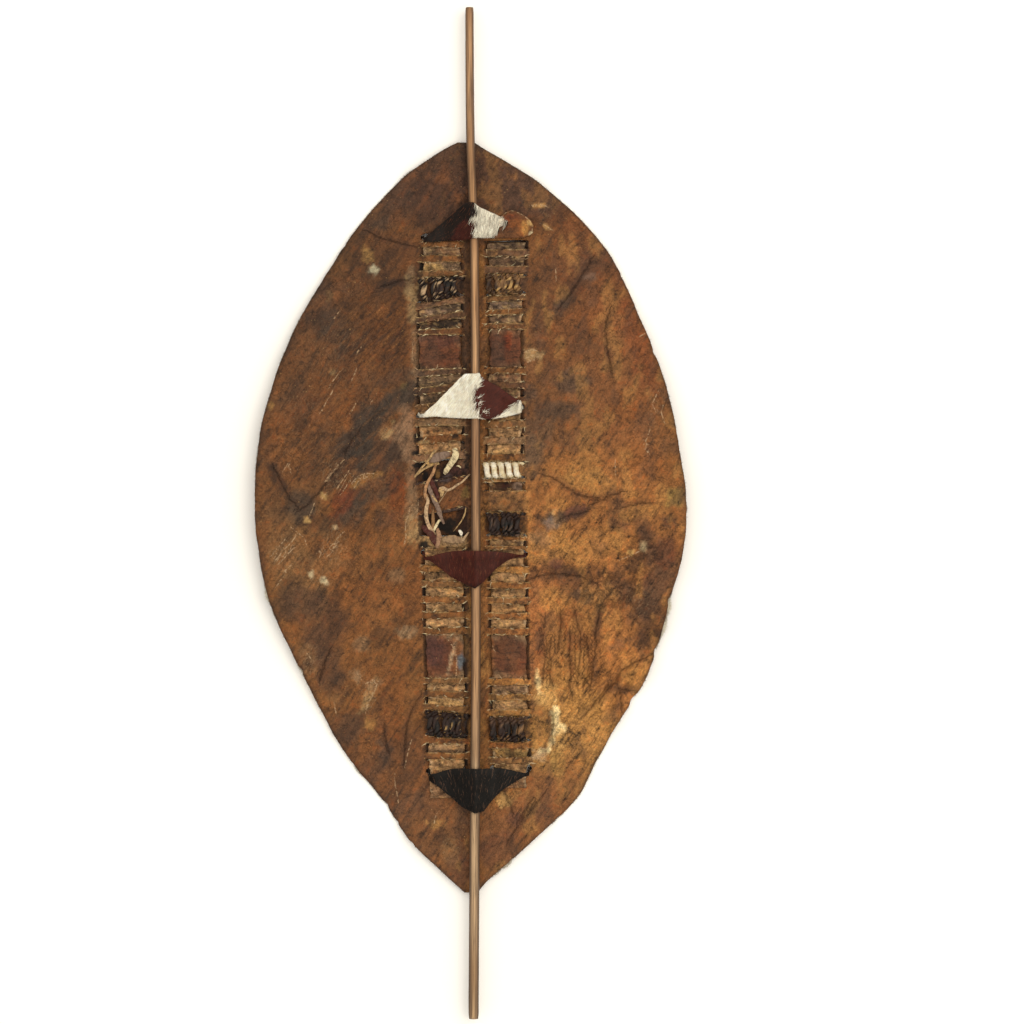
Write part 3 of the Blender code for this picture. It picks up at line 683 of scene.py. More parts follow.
# strokes on the photo
creases = """
    543,475 551,477 558,480 565,486 572,491 579,495 586,497 594,498 602,498 612,495 622,492;
    593,504 600,501 607,499; 626,507 637,504 649,503;
    532,578 540,576 549,575 558,574 566,575 575,576 583,578 590,581 597,584;
    560,520 567,516 576,514 584,512; 603,604 600,610 598,618 597,628 595,640; 540,632 541,640 539,650;
    551,640 550,650 551,662 549,674 552,684; 570,632 571,642 569,655 571,668 570,682 572,696;
    587,640 588,652 590,664 587,676 584,686;
    655,651 645,658 634,663 625,668 620,674 617,681 617,687 622,690 632,691; 620,692 621,699 622,708;
    608,684 602,694 596,702 590,710 582,718; 553,716 554,724 552,733 553,744;
    545,793 537,803 530,812 521,822 514,832 508,842; 532,800 524,812 518,822;
    368,231 379,236 391,240 404,244 419,247; 382,286 392,283 400,280 409,278;
    274,467 279,478 284,488 289,497 296,506; 300,510 309,503 319,492 330,478 342,462;
    345,452 351,441 358,432; 421,694 415,706 409,718 406,730 405,744 404,764; 384,728 385,740 388,752;
    560,306 568,296 577,283 586,268 592,258; 503,790 508,800 512,812; 610,310 605,330 608,350 612,372;
    330,650 324,664 320,680; 545,618 543,640 545,660 543,682; 561,617 560,636 558,652;
    575,612 580,632 581,652 578,676; 597,640 594,660 592,676 590,690; 600,700 606,692 614,684 621,672
"""
scratches = """
    343,460 337,467 331,474 327,482; 338,464 331,472 325,481; 349,470 342,480 336,490;
    352,476 346,486 341,494; 322,498 327,492; 314,504 311,512 309,517; 272,556 278,548 285,540;
    276,560 284,550 291,543 296,536; 281,562 288,554 294,548; 292,528 298,533 305,538 306,545;
    286,574 281,580 277,586; 290,566 284,572; 343,532 336,540 329,548; 340,540 333,548 327,556;
    336,546 329,555; 318,552 322,548 320,556; 284,470 288,464 291,471; 333,390 327,400 321,412;
    372,398 376,392 371,402; 356,370 352,379; 362,345 357,352; 352,482 358,476 366,473 376,474;
    354,488 358,481 367,477; 329,386 334,379 340,371; 338,312 334,318; 356,402 352,410 348,415;
    406,535 404,545; 413,345 412,360; 410,505 406,520 405,532; 418,497 417,510;
    374,683 378,682 372,694 368,702 365,712; 376,688 371,698 366,710; 357,674 361,680; 366,684 372,680;
    394,776 395,786 397,795 398,803; 334,704 336,716; 411,742 407,756 405,766; 307,654 312,660;
    436,815 434,824; 541,223 545,225 550,228; 545,225 551,229; 532,205 539,204 547,206; 533,206 541,206;
    640,336 646,333 652,331; 655,410 652,404 658,392; 664,422 661,412 664,402; 647,452 646,440 650,430;
    645,445 649,452; 615,461 616,476; 646,441 647,450; 556,709 558,718 556,728 553,738 551,746;
    557,715 559,724 562,728; 551,746 546,750 541,748; 538,682 540,690 545,696; 525,352 531,349 537,351;
    526,358 533,355 538,357; 527,362 534,360; 522,260 527,258; 556,270 556,278;
    620,560 630,556 640,551 642,546
"""
lieOfHide = {
    "dome": 0.0040, "domeSize": 0.10, "fold": 0.0010, "foldSize": 0.012, "rib": 0.0016, "ribPitch": 0.013,
    "start": 0.082, "run": 0.03, "creaseDepth": 0.0009, "creaseWidth": 0.0022,
    "lip": 0.0005, "lipWidth": 0.005, "lean": 0.0022, "leanSize": 0.024,
    "ribs": ((602, 690, 62, 46), (562, 650, 42, 66)),
}


# pulled bars: place on the photo, reach and slope
slants = (
    (440, 302, 30, 26, 0.16), (438, 394, 30, 26, 0.13), (436, 452, 30, 18, 0.12),
    (440, 497, 30, 24, 0.25), (440, 722, 30, 22, -0.10), (506, 306, 30, 18, 0.05),
)


def slantOf(xs, ys):  # how far the torn and pulled bars lean, as a shift along the stick
    shift = np.zeros(len(xs))
    for px, py, rx, ry, slope in slants:
        cx, cy = at(px, py)
        mask = ease(1.4 - np.abs(ys - cy) / (ry * pixel))
        mask = mask * ease(1.5 - np.abs(xs - cx) / (rx * pixel))
        shift = shift + slope * (xs - cx) * mask
    lean = (cloud(xs, ys, lieOfHide["leanSize"], 21, 2) - 0.5) * lieOfHide["lean"]
    return shift + lean * inColumns(xs, ys, 0.004)


def liftOf(xs, ys):  # how far the bars stand above or below the band
    lift = np.zeros(len(xs))
    for column in columns:
        left, right = sides(column, ys)
        ends = np.minimum(np.abs(xs - left), np.abs(xs - right))
        within = (xs > left - 1e-6) & (xs < right + 1e-6)
        ramp = ease(ends / slit["ramp"]) * within
        for kind, top, bottom, height in column["barList"]:
            near = (ys <= top + 0.0008) & (ys >= bottom - 0.0008) & within
            half = (top - bottom) / 2
            arch = np.clip(np.abs(ys - (top + bottom) / 2) / half, 0, 1) ** 4 * slit["arch"]
            tilt = (cloud(xs, ys * 0 + top * 50, 0.03, 2, 2) - 0.5) * slit["tilt"]
            lift = np.where(near, (height - arch + tilt) * ramp, lift)
    return lift


def rimHeight(xs, ys):
    away = np.abs(xs - axisX)
    rest = hide["thickness"] / 2 + 0.0002
    slope = np.clip((away - hide["bandHalf"]) / (hide["floorLine"] - hide["bandHalf"]), 0, 1)
    out = np.clip((away - hide["floorLine"]) / (hide["width"] / 2 - hide["floorLine"]), 0, None)
    wave = np.sin(2 * np.pi * (ys + hide["ripplePhase"]) / hide["rippleLength"])
    wave = wave * ((xs > 0) & (ys < 0)) * np.clip(-ys / hide["rippleFade"], 0, 1)
    band = rest + (bandMiddle - rest) * (1 + np.cos(np.pi * slope)) / 2
    return band + hide["rimRise"] * out**2 + hide["ripple"] * out * wave


def relief(xs, ys, creaseAway):
    lie = lieOfHide
    out = ease((np.abs(xs - axisX) - lie["start"]) / lie["run"])
    height = (cloud(xs, ys, lie["domeSize"], 4, 3) - 0.5) * lie["dome"] * out
    height = height + (cloud(xs, ys, lie["foldSize"], 6, 2) - 0.5) * lie["fold"] * out
    for number, (px, py, rx, ry) in enumerate(lie["ribs"]):
        cx, cy = at(px, py)
        mask = ease(1.3 - farFrom(xs, ys, px, py, rx, ry))
        along = (xs - cx) * 0.74 - (ys - cy) * 0.67 if number == 0 else (xs - cx)
        bend = (cloud(xs, ys, 0.05, 9 + number, 2) - 0.5) * 0.03
        height = height + np.sin((along + bend) * 2 * np.pi / lie["ribPitch"]) * lie["rib"] * mask * out
    dent = np.exp(-((creaseAway / lie["creaseWidth"]) ** 2)) * lie["creaseDepth"]
    lip = np.exp(-((creaseAway / lie["lipWidth"]) ** 2)) * lie["lip"]
    return height + (lip - dent) * out


# stains, and the stick's painted shadow as the two long umber streaks just left of it, in the order that they
# are laid: tone, place on the photo, reach across and along, turn, strength
stainsAndStickShadow = """
    bark 480,180 130,56 0.95; taupe 520,190 40,30,-30 0.4; chestnut 385,300 90,80 0.9;
    cedar 310,400 90,100,10 0.85; rust 372,590 80,80 0.6; tan 300,555 40,60,10 0.7;
    clay 375,690 70,70 0.8; chestnut 400,770 60,46,-40 0.8; cedar 450,830 60,50 0.8;
    chestnut 580,290 60,90,-25 0.8; cedar 560,370 60,90 0.7; sienna 620,400 50,100,12 0.75;
    ochre 600,500 100,60 0.8; ochre 590,570 90,60 0.7; sienna 560,640 60,80 0.6;
    ochre 610,680 60,60,-20 0.8; gold 570,735 60,60,30 0.85; sienna 545,800 50,34,30 0.7;
    bark 385,216 26,10,30 0.6; slate 386,222 16,8,10 0.5; umber 393,283 16,4,12 0.8;
    slate 332,328 15,17,20 0.75; slate 338,354 12,12,30 0.6; bark 318,305 22,30,-30 0.6;
    rust 372,330 34,15,43 0.45; rust 390,312 26,12,43 0.6; umber 364,346 30,3,43 0.6;
    umber 380,322 26,3,43 0.55; umber 392,340 20,3,43 0.5; rust 352,364 28,12,43 0.5;
    slate 396,376 20,8,20 0.8; olive 405,386 5,6 0.5; rust 330,395 40,24,50 0.55;
    rust 348,414 16,26,-30 0.5; rust 292,440 28,34 0.7; ochre 290,452 16,20 0.35; bark 300,404 18,20 0.5;
    slate 402,396 34,12,40 0.9; slate 372,418 30,16,50 0.9; slate 352,446 24,16,55 0.85;
    slate 374,456 34,18,20 0.9; slate 368,492 34,12,20 0.8; slate 352,514 18,14,20 0.75;
    umber 345,470 20,5,50 0.7; bark 392,462 16,30 0.6; slate 301,508 16,16 0.8;
    umber 281,484 24,6,-56 0.7; umber 322,524 20,10,-10 0.6; bark 276,505 12,24 0.4;
    brick 343,500 10,20,-30 0.5; brick 398,500 10,34 0.45; bark 392,520 20,12,10 0.7;
    rust 320,545 14,12 0.5; ochre 372,556 40,24,20 0.55; ochre 400,536 12,18 0.6; bark 300,602 24,18 0.7;
    chestnut 262,540 6,60 0.5; dust 397,576 10,9 0.45; ochre 372,610 30,20 0.4;
    bark 330,618 16,26,30 0.5; bark 320,660 22,40,25 0.75; bark 346,728 20,20,-40 0.7;
    slate 384,744 7,24,8 0.7; rust 392,700 14,50,-8 0.5; bark 372,770 12,36,-40 0.5;
    bark 405,812 12,30,-40 0.6; dust 406,632 11,7 0.75; dust 361,644 10,8,20 0.5;
    dust 356,676 6,7,30 0.6; wheat 368,697 4,19,-24 0.6; dust 374,684 9,6,10 0.5;
    gold 371,725 6,7,20 0.75; tan 307,654 9,12 0.5; tan 311,674 7,9 0.5; tan 334,698 8,6 0.45;
    gold 435,824 9,5 0.7; tan 450,852 9,16,10 0.6; umber 441,838 8,10,20 0.45; plum 462,872 16,18 0.45;
    umber 462,820 6,60 0.45; plum 500,852 26,20,30 0.4; umber 566,298 46,9,52 0.55;
    slate 560,306 16,8,50 0.6; bark 590,262 22,16,40 0.6; rust 594,320 18,16,50 0.5;
    rust 566,336 26,30 0.4; brick 640,350 12,50,15 0.3; slate 572,380 18,12 0.7; slate 530,392 8,8 0.6;
    slate 560,410 24,9 0.6; bark 576,440 20,12,20 0.5; rust 628,406 20,20 0.6; rust 648,460 22,24 0.5;
    ash 532,456 16,20 0.75; ash 540,430 18,14 0.5; gold 590,481 30,13,-8 0.6; plum 572,513 14,7,20 0.8;
    umber 580,514 14,5,20 0.5; slate 553,520 14,11,15 0.85; steel 552,524 7,6 0.45;
    wheat 554,512 3,3 0.7; bark 618,518 12,18 0.65; gold 640,512 26,8,10 0.5;
    olive 674,497 12,11,-20 0.65; bark 668,522 8,6,30 0.7; gold 548,545 24,20 0.65;
    dust 540,538 14,8 0.4; gold 590,548 40,16,20 0.4; umber 645,540 9,20,10 0.8;
    umber 640,562 18,9,20 0.7; straw 631,553 4,3,20 0.95; cream 644,547 3,5 0.6; umber 572,571 24,7 0.75;
    plum 555,564 8,5,10 0.7; bark 570,582 20,6,-6 0.5; gold 556,600 18,16 0.5;
    slate 584,597 13,8,-20 0.7; umber 601,606 5,12,-10 0.85; umber 597,626 5,22,4 0.6;
    bark 618,590 30,10,-8 0.55; brick 648,580 6,7 0.3; bark 658,580 16,42,-14 0.85;
    umber 636,600 26,12,-32 0.55; umber 616,578 26,6,-16 0.45; umber 652,637 14,16,-30 0.75;
    umber 648,610 16,18,-20 0.5; liver 665,552 12,16 0.6; gold 556,640 12,26 0.4; bark 540,640 5,16 0.55;
    bark 620,645 12,6,30 0.5; gold 580,672 8,26,6 0.45; gold 640,680 16,16 0.4; bark 622,690 14,5 0.5;
    straw 545,694 13,12,-30 0.75; ivory 538,682 3,10,6 0.7; ivory 556,720 5,13,6 1;
    ivory 561,729 6,5,20 0.9; ivory 552,740 3,12,-14 1; ivory 544,751 7,3,20 0.8; oat 539,756 8,6 0.7;
    straw 560,740 6,16,-12 0.5; umber 549,728 3,16 0.7; bark 545,748 4,5 0.6; gold 585,710 22,12,40 0.5;
    chestnut 530,712 8,12 0.5; bark 610,716 16,6,30 0.4; straw 504,801 7,8,20 0.65; plum 515,820 8,8 0.5;
    bark 536,812 16,10,30 0.5; olive 558,766 9,14,10 0.4; rose 397,432 15,9,10 0.85;
    wheat 387,433 7,5,20 0.8; rose 407,418 9,14,20 0.8; rose 408,446 9,20,4 0.75; wheat 393,421 2,2 0.9;
    rose 412,482 6,26 0.6; wheat 412,526 8,20,8 0.7; dust 412,500 8,16 0.6; straw 420,520 3,3 0.9;
    gold 358,483 9,4,35 0.85; gold 371,475 10,4,5 0.85; wheat 412,290 7,15 0.75;
    wheat 409,277 6,3,10 0.85; wheat 412,312 5,12 0.6; dust 416,350 5,30 0.6; dust 411,272 4,6 0.6;
    gold 367,253 5,9,10 0.9; cream 373,270 5,5,-30 0.95; tan 329,295 4,5 0.6; gold 270,406 4,4 0.95;
    straw 324,496 4,3,-30 0.95; straw 307,520 4,3,-30 0.95; cream 334,527 3,3 0.9;
    cream 312,575 3,4,-10 0.9; cream 324,581 4,4 0.85; wheat 333,372 3,3 0.6; straw 539,205 8,2 0.95;
    straw 546,226 5,3,-30 0.95; wheat 533,354 10,6,4 0.7; stone 590,276 8,4 0.5;
    umber 466,330 5,420 0.75; umber 466,640 4,140 0.75; tan 480,590 4,160 0.4; seal 461,662 6,10 0.7;
    steel 461,661 4,7 0.95; seal 507,508 14,4 0.75; liver 504,514 14,2 0.7; olive 490,477 8,2 0.7;
    straw 508,477 7,2 0.6
"""
scuffs = (
    (390, 434, 14, 9, 0.7), (364, 479, 16, 8, 0.6), (333, 474, 14, 20, 0.75), (406, 632, 10, 8, 0.6),
    (368, 697, 9, 20, 0.8), (358, 676, 7, 8, 0.7), (532, 354, 12, 8, 0.8), (414, 350, 6, 40, 0.5),
    (406, 440, 9, 24, 0.6), (412, 516, 8, 26, 0.9), (335, 548, 16, 22, 0.65), (284, 552, 18, 26, 0.55),
    (320, 580, 18, 12, 0.5), (545, 212, 10, 12, 0.3), (373, 268, 6, 9, 0.5), (450, 850, 12, 16, 0.4),
    (655, 410, 10, 30, 0.35), (412, 290, 7, 24, 0.6), (300, 430, 40, 60, 0.22),
    (340, 360, 40, 50, 0.25), (310, 660, 12, 18, 0.6), (640, 600, 22, 16, 0.5), (600, 590, 24, 10, 0.4),
    (516, 865, 14, 10, 0.4), (620, 480, 40, 16, 0.2), (580, 735, 26, 26, 0.3),
)
veinZones = (
    (568, 660, 44, 46, 0.5), (556, 620, 30, 24, 0.4), (512, 830, 34, 34, 0.4), (600, 320, 40, 60, 0.25),
)
ribZones = (
    (608, 690, 52, 34, 0.5), (585, 735, 34, 26, 0.35), (375, 335, 50, 48, 1.0), (340, 440, 60, 70, 0.6),
)
wornZones = (
    (590, 600, 120, 170, 0.55), (475, 500, 70, 290, 0.45), (320, 560, 50, 60, 0.3),
    (560, 740, 50, 40, 0.8),
)
# washes over the stains: place on the photo, reach, and how much of red, green and blue stays
washes = (
    (600, 600, 125, 180, 1.30, 1.23, 1.14), (450, 815, 100, 80, 1.20, 1.20, 1.18),
    (350, 400, 110, 180, 0.82, 0.83, 0.84), (612, 690, 55, 60, 1.24, 1.24, 1.2),
    (538, 635, 18, 60, 1.24, 1.22, 1.18), (500, 195, 110, 50, 0.84, 0.76, 0.76),
    (600, 270, 50, 60, 1.15, 1.08, 1.06), (345, 275, 60, 60, 0.86, 0.92, 1.0),
)
crackleZones = (
    (610, 592, 44, 20, 1.0), (640, 556, 26, 24, 0.8), (606, 520, 34, 16, 0.5), (560, 572, 30, 12, 0.5),
)


def zones(xs, ys, spots):
    strength = np.zeros(len(xs))
    for px, py, rx, ry, most in spots:
        strength = np.maximum(strength, most * ease((1.2 - farFrom(xs, ys, px, py, rx, ry)) / 0.7))
    return strength


# each bar its own tone, pale cut edges that carry a painted highlight too, and painted shade darkening the
# ends of the sunk ones
def paintBars(xs, ys, colours):
    for column in columns:
        left, right = sides(column, ys)
        ends = np.minimum(xs - left, right - xs)
        names = iter(column["tones"].split())
        for kind, top, bottom, height in column["barList"]:
            near = (ends > -0.0015) & (ys <= top + 0.0009) & (ys >= bottom - 0.0009)
            # painted shade: black grows towards the ends of the sunk bars; the short torn panels are darkened
            # all over with seal
            if kind in "DP":
                torn = kind == "P" and top - bottom < 0.03
                onOuter = (xs - (left + right) / 2) * column["side"] > 0
                chance = 0.5 + 0.5 * np.sin(top * 5200 + onOuter * 2.1)
                share = near * (ease((ends + 0.0005) / 0.0012) * (0.35 + 0.6 * chance) if not torn else 0.75)
                tint(colours, "seal" if torn else "black", share)
                continue
            worn = cloud(xs, ys, 0.006, 13, 3)
            share = near * ease((ends + 0.004) / 0.006) * (0.45 + 0.7 * (worn - 0.3))
            tint(colours, next(names), share)
            dirty = near * ease((cloud(xs, ys * 2, 0.008, 15, 3) - 0.56) * 7) * 0.6
            tint(colours, "umber", dirty)
            # paler along the cut edges of the raised bars: lighter cut hide with a painted highlight on the
            # edge
            cut = np.minimum(np.abs(ys - top), np.abs(ys - bottom)) < 0.0005
            pale = near * cut * ease((cloud(xs, ys, 0.012, 17, 2) - 0.40) * 6) * 0.8
            tint(colours, "wheat", pale)


# stains of the torn zone beside the lacing, as in the list of stains; its black spots are painted shade in
# the slit ends and gaps
tearStainsAndShade = """
    seal 450,475 22,11,8 0.95; plum 456,472 12,7,10 0.6; lilac 446,480 7,4,20 0.35;
    seal 434,488 6,12 0.9; cedar 453,500 14,12 0.8; rust 451,512 9,8 0.6; rust 446,500 6,6 0.4;
    black 447,526 13,6 0.95; black 455,534 6,4 0.85; seal 461,520 5,12 0.6; dust 453,541 14,5 0.8;
    black 424,545 5,4 0.95; seal 426,518 5,14 0.6; olive 465,498 4,7 0.5; gold 438,475 2,5 0.5;
    black 418,451 7,3 0.95; black 418,464 6,3 0.95; black 425,474 3,5,10 0.95; black 417,437 5,4 0.9;
    black 456,437 4,4 0.9; rose 462,458 4,12 0.6; wheat 424,441 8,2 0.7; rust 440,436 12,4 0.5;
    straw 437,492 3,3 0.4
"""

# patches on the front, as in the list of stains
frontPatches = """
    cream 560,300 60,90,20 0.85; wheat 380,700 70,60 0.7; umber 430,480 60,200 0.6;
    cream 330,420 30,40 0.7; bark 600,600 60,80 0.6
"""


def makeHide():
    rings = [hideRim()]
    for column in columns:
        for number, (high, low) in enumerate(column["openings"]):
            rings.append(openingRing(column, high, low, number))
    flat, upper = fillSkin(rings, hide["coarse"], hide["fine"])
    under, lower = fillSkin(rings, hide["underCoarse"], hide["underFine"])
    ringCount = sum(len(ring) for ring in rings)
    both = np.vstack((flat, under))
    xs, ys = both[:, 0], both[:, 1]
    crease, creaseNear = strokes(xs, ys, creases, 0.010)
    scratch, scratchNear = strokes(xs, ys, scratches, 0.0045)
    heights = rimHeight(xs, ys) + liftOf(xs, ys) + relief(xs, ys, np.abs(crease))
    heights = np.maximum(heights, hide["thickness"] / 2 + 0.0001)
    split = len(flat)
    half = np.where(np.arange(len(both)) < split, 1.0, -1.0) * hide["thickness"] / 2
    edge = np.zeros(len(both), bool)
    edge[:ringCount] = edge[split : split + ringCount] = True
    half = np.where(edge, half * hide["edgeShare"], half)
    points = np.column_stack((xs, ys + slantOf(xs, ys), heights + half))
    faces = [tuple(face) for face in upper] + [tuple(face[::-1] + split) for face in lower]
    kinds = [0] * len(upper) + [1] * len(lower)
    start = 0
    for number, ring in enumerate(rings):
        for i in range(len(ring)):
            a, b = start + i, start + (i + 1) % len(ring)
            wall = (a, a + split, b + split, b) if number == 0 else (b, b + split, a + split, a)
            faces.append(wall)
            kinds.append(0)
        start += len(ring)
    # the stains lay the stick's painted shadow: dark umber streaks just left of it
    colours = paint(xs, ys, "clay", stainsAndStickShadow)
    lean = cloud(xs * 0.54 + ys * 0.84, (ys * 0.54 - xs * 0.84) * 4, 0.04, 31, 4)
    leftness = ease((axisX - 0.02 - xs) / 0.03)
    tint(colours, "umber", ease((0.45 - lean) * 7) * 0.45 * leftness)
    tint(colours, "rust", ease((lean - 0.54) * 7) * 0.35 * leftness)
    wave = cloud(xs * 2.2, ys, 0.03, 33, 4)
    tint(colours, "gold", ease((wave - 0.56) * 8) * 0.4 * (1 - leftness))
    tint(colours, "bark", ease((0.42 - wave) * 8) * 0.45 * (1 - leftness))
    rimAway = np.minimum(xs - np.interp(ys, edgeYs, edgeLeft), np.interp(ys, edgeYs, edgeRight) - xs)
    rim = ease((0.006 - rimAway) / 0.006) * (0.35 + 0.5 * cloud(xs, ys, 0.02, 35, 2))
    tint(colours, "umber", rim)
    paintBars(xs, ys, colours)
    # these stains put painted shade into the slit ends and gaps of the torn zone as black spots
    colours = paint(xs, ys, colours, tearStainsAndShade, 0.7)
    for px, py, rx, ry, *wash in washes:
        colours *= 1 + (np.array(wash) - 1) * ease((1.3 - farFrom(xs, ys, px, py, rx, ry)) / 0.8)[:, None]
    colours[split:] = paint(xs[split:], ys[split:], "chestnut", frontPatches, 1.4)
    marks = {
        "crease": crease, "creaseNear": creaseNear, "scratch": scratch, "scratchNear": scratchNear,
        "scuff": zones(xs, ys, scuffs), "veins": 0.1 + 0.9 * zones(xs, ys, veinZones),
        "ribs": zones(xs, ys, ribZones), "crackle": zones(xs, ys, crackleZones),
        "worn": zones(xs, ys, wornZones) + 0.1,
    }
    piece("hide", points, faces, (rawhide, fur), "shield_hide", colours, marks, kinds)
    print("hide ready:", len(faces), "faces")


makeHide()

# stains round the stick, and a painted highlight just above the black strap (oat at 766): tone, place along
# it on the photo, reach and strength
stickStainsAndHighlight = (
    ("cedar", 455, 60, 0.55), ("oat", 830, 50, 0.8), ("tan", 975, 40, 0.6), ("reed", 640, 60, 0.3),
    ("tan", 190, 40, 0.4), ("oat", 766, 6, 0.9),
)


def makeStick():
    ys = np.linspace(stick["length"] / 2, -stick["length"] / 2, stick["rings"])
    radii = stickRadius(ys)
    straight = stick["bendShare"] * stick["length"]
    xs = stickX(np.clip(ys, -straight, straight))
    zs = bandMiddle + hide["thickness"] / 2 + hide["gap"] + radii
    angles = np.linspace(0, 2 * np.pi, stick["sides"], endpoint=False)
    shapes = []
    for i, (y, radius) in enumerate(zip(ys, radii)):
        end = min(i, len(ys) - 1 - i)
        pull = (0.9, 0.97)[end] if end < 2 else 1.0
        wear = 1 - 0.035 * cloud(angles * 0.01, np.full(len(angles), y), 0.014, 2, 2)
        reach = radius * pull * wear
        shapes.append(list(zip(np.cos(angles) * reach, np.sin(angles) * reach)))
    tubePoints, faces = tube(list(zip(xs, ys, zs)), shapes)
    px, py = tubePoints[:, 0], tubePoints[:, 1]
    spread = cloud(px * 9, py, 0.09, 3, 3)
    colours = np.tile(tone("oat"), (len(px), 1))
    tint(colours, "dust", ease((spread - 0.4) / 0.4))
    tint(colours, "reed", ease((py + 0.42) / 0.25) * (0.75 + 0.25 * ease((spread - 0.5) * 5)))
    # the oat spot at 766 is a painted highlight; the rest are stains
    for tag, place, reach, share in stickStainsAndHighlight:
        tint(colours, tag, np.exp(-(((py - at(0, place)[1]) / (reach * pixel)) ** 2)) * share)
    # painted shade: the stick darkens towards its sides as seen from above
    tint(colours, "umber", ease(np.abs(px - stickX(py)) / stickRadius(py) * 1.5 - 0.32) * 0.88)
    piece("stickRod", tubePoints, faces, (wood,), "stick", colours)
    print("stick ready")


makeStick()

# the strips woven through the bars
strips = {
    "thickness": 0.002, "inset": 0.0042, "step": 0.0016, "across": 20, "bulge": 0.0009,
    "curl": 0.0005, "flapTurn": 0.012, "warmth": (1.28, 1.15, 0.98), "fray": 0.0056, "lump": 0.0005,
    "dip": 0.0009, "slant": 0.003,
}
stripStains = """
    taupe 438,330 60,100 0.6; taupe 505,300 60,90 0.6; wheat 433,271 14,9 0.5; rose 437,298 24,6,10 0.6;
    stone 440,306 24,6,10 0.5; ash 440,325 24,7,5 0.6; liver 437,352 30,19 0.95; plum 437,340 24,8 0.5;
    dust 440,396 26,30 0.5; liver 507,348 28,20 0.95; wine 506,340 4,12 0.6; stone 505,304 22,6 0.6;
    ash 505,247 26,5 0.5; bark 505,265 26,6 0.4; dust 440,432 26,8 0.5; dust 505,434 26,8 0.5;
    wheat 505,454 22,5 0.5; lilac 517,485 7,7 0.6; ash 508,546 24,6 0.6; liver 438,657 28,23 0.95;
    plum 432,650 10,16 0.6; liver 510,657 28,23 0.95; chestnut 505,650 14,10 0.4; dust 440,687 26,5 0.6;
    dust 440,703 26,6 0.6; stone 510,690 26,6 0.6; olive 510,754 26,6 0.5; stone 445,752 26,6 0.5;
    taupe 445,792 24,10 0.7; taupe 517,784 20,12 0.7; straw 433,268 12,4 0.75; wheat 440,703 26,4 0.7;
    soot 445,752 22,4 0.5; straw 500,754 5,3 0.7; clay 440,432 20,5 0.5; sienna 457,657 5,24 0.9;
    sienna 491,657 4,24 0.9; taupe 440,256 26,4 0.4; soot 443,607 6,3 0.7; umber 440,396 30,24 0.4;
    liver 505,384 26,16 0.5; seal 444,324 22,6,6 0.5; bark 430,352 10,18 0.5; bark 505,262 26,20 0.35;
    slate 498,350 8,18 0.5; brick 509,340 3,12 0.5; plum 436,652 12,20,20 0.5; bark 512,652 8,20 0.4;
    oat 452,656 2,18,-14 0.8; steel 461,662 4,8 0.95; seal 500,484 16,7 0.9; wine 507,486 5,4 0.6;
    honey 505,609 22,4 0.3; bark 440,575 26,4 0.4; seal 510,591 20,4 0.4
"""
stripScratches = """
    448,640 455,650 457,660 456,676; 489,637 494,650; 424,300 455,294; 419,318 432,314 445,311;
    488,303 491,309; 420,462 430,456; 488,687 508,685 528,684; 436,746 468,745; 425,697 446,699 467,701;
    422,635 440,635 460,634; 431,798 448,801; 520,780 530,775; 424,790 426,776
"""


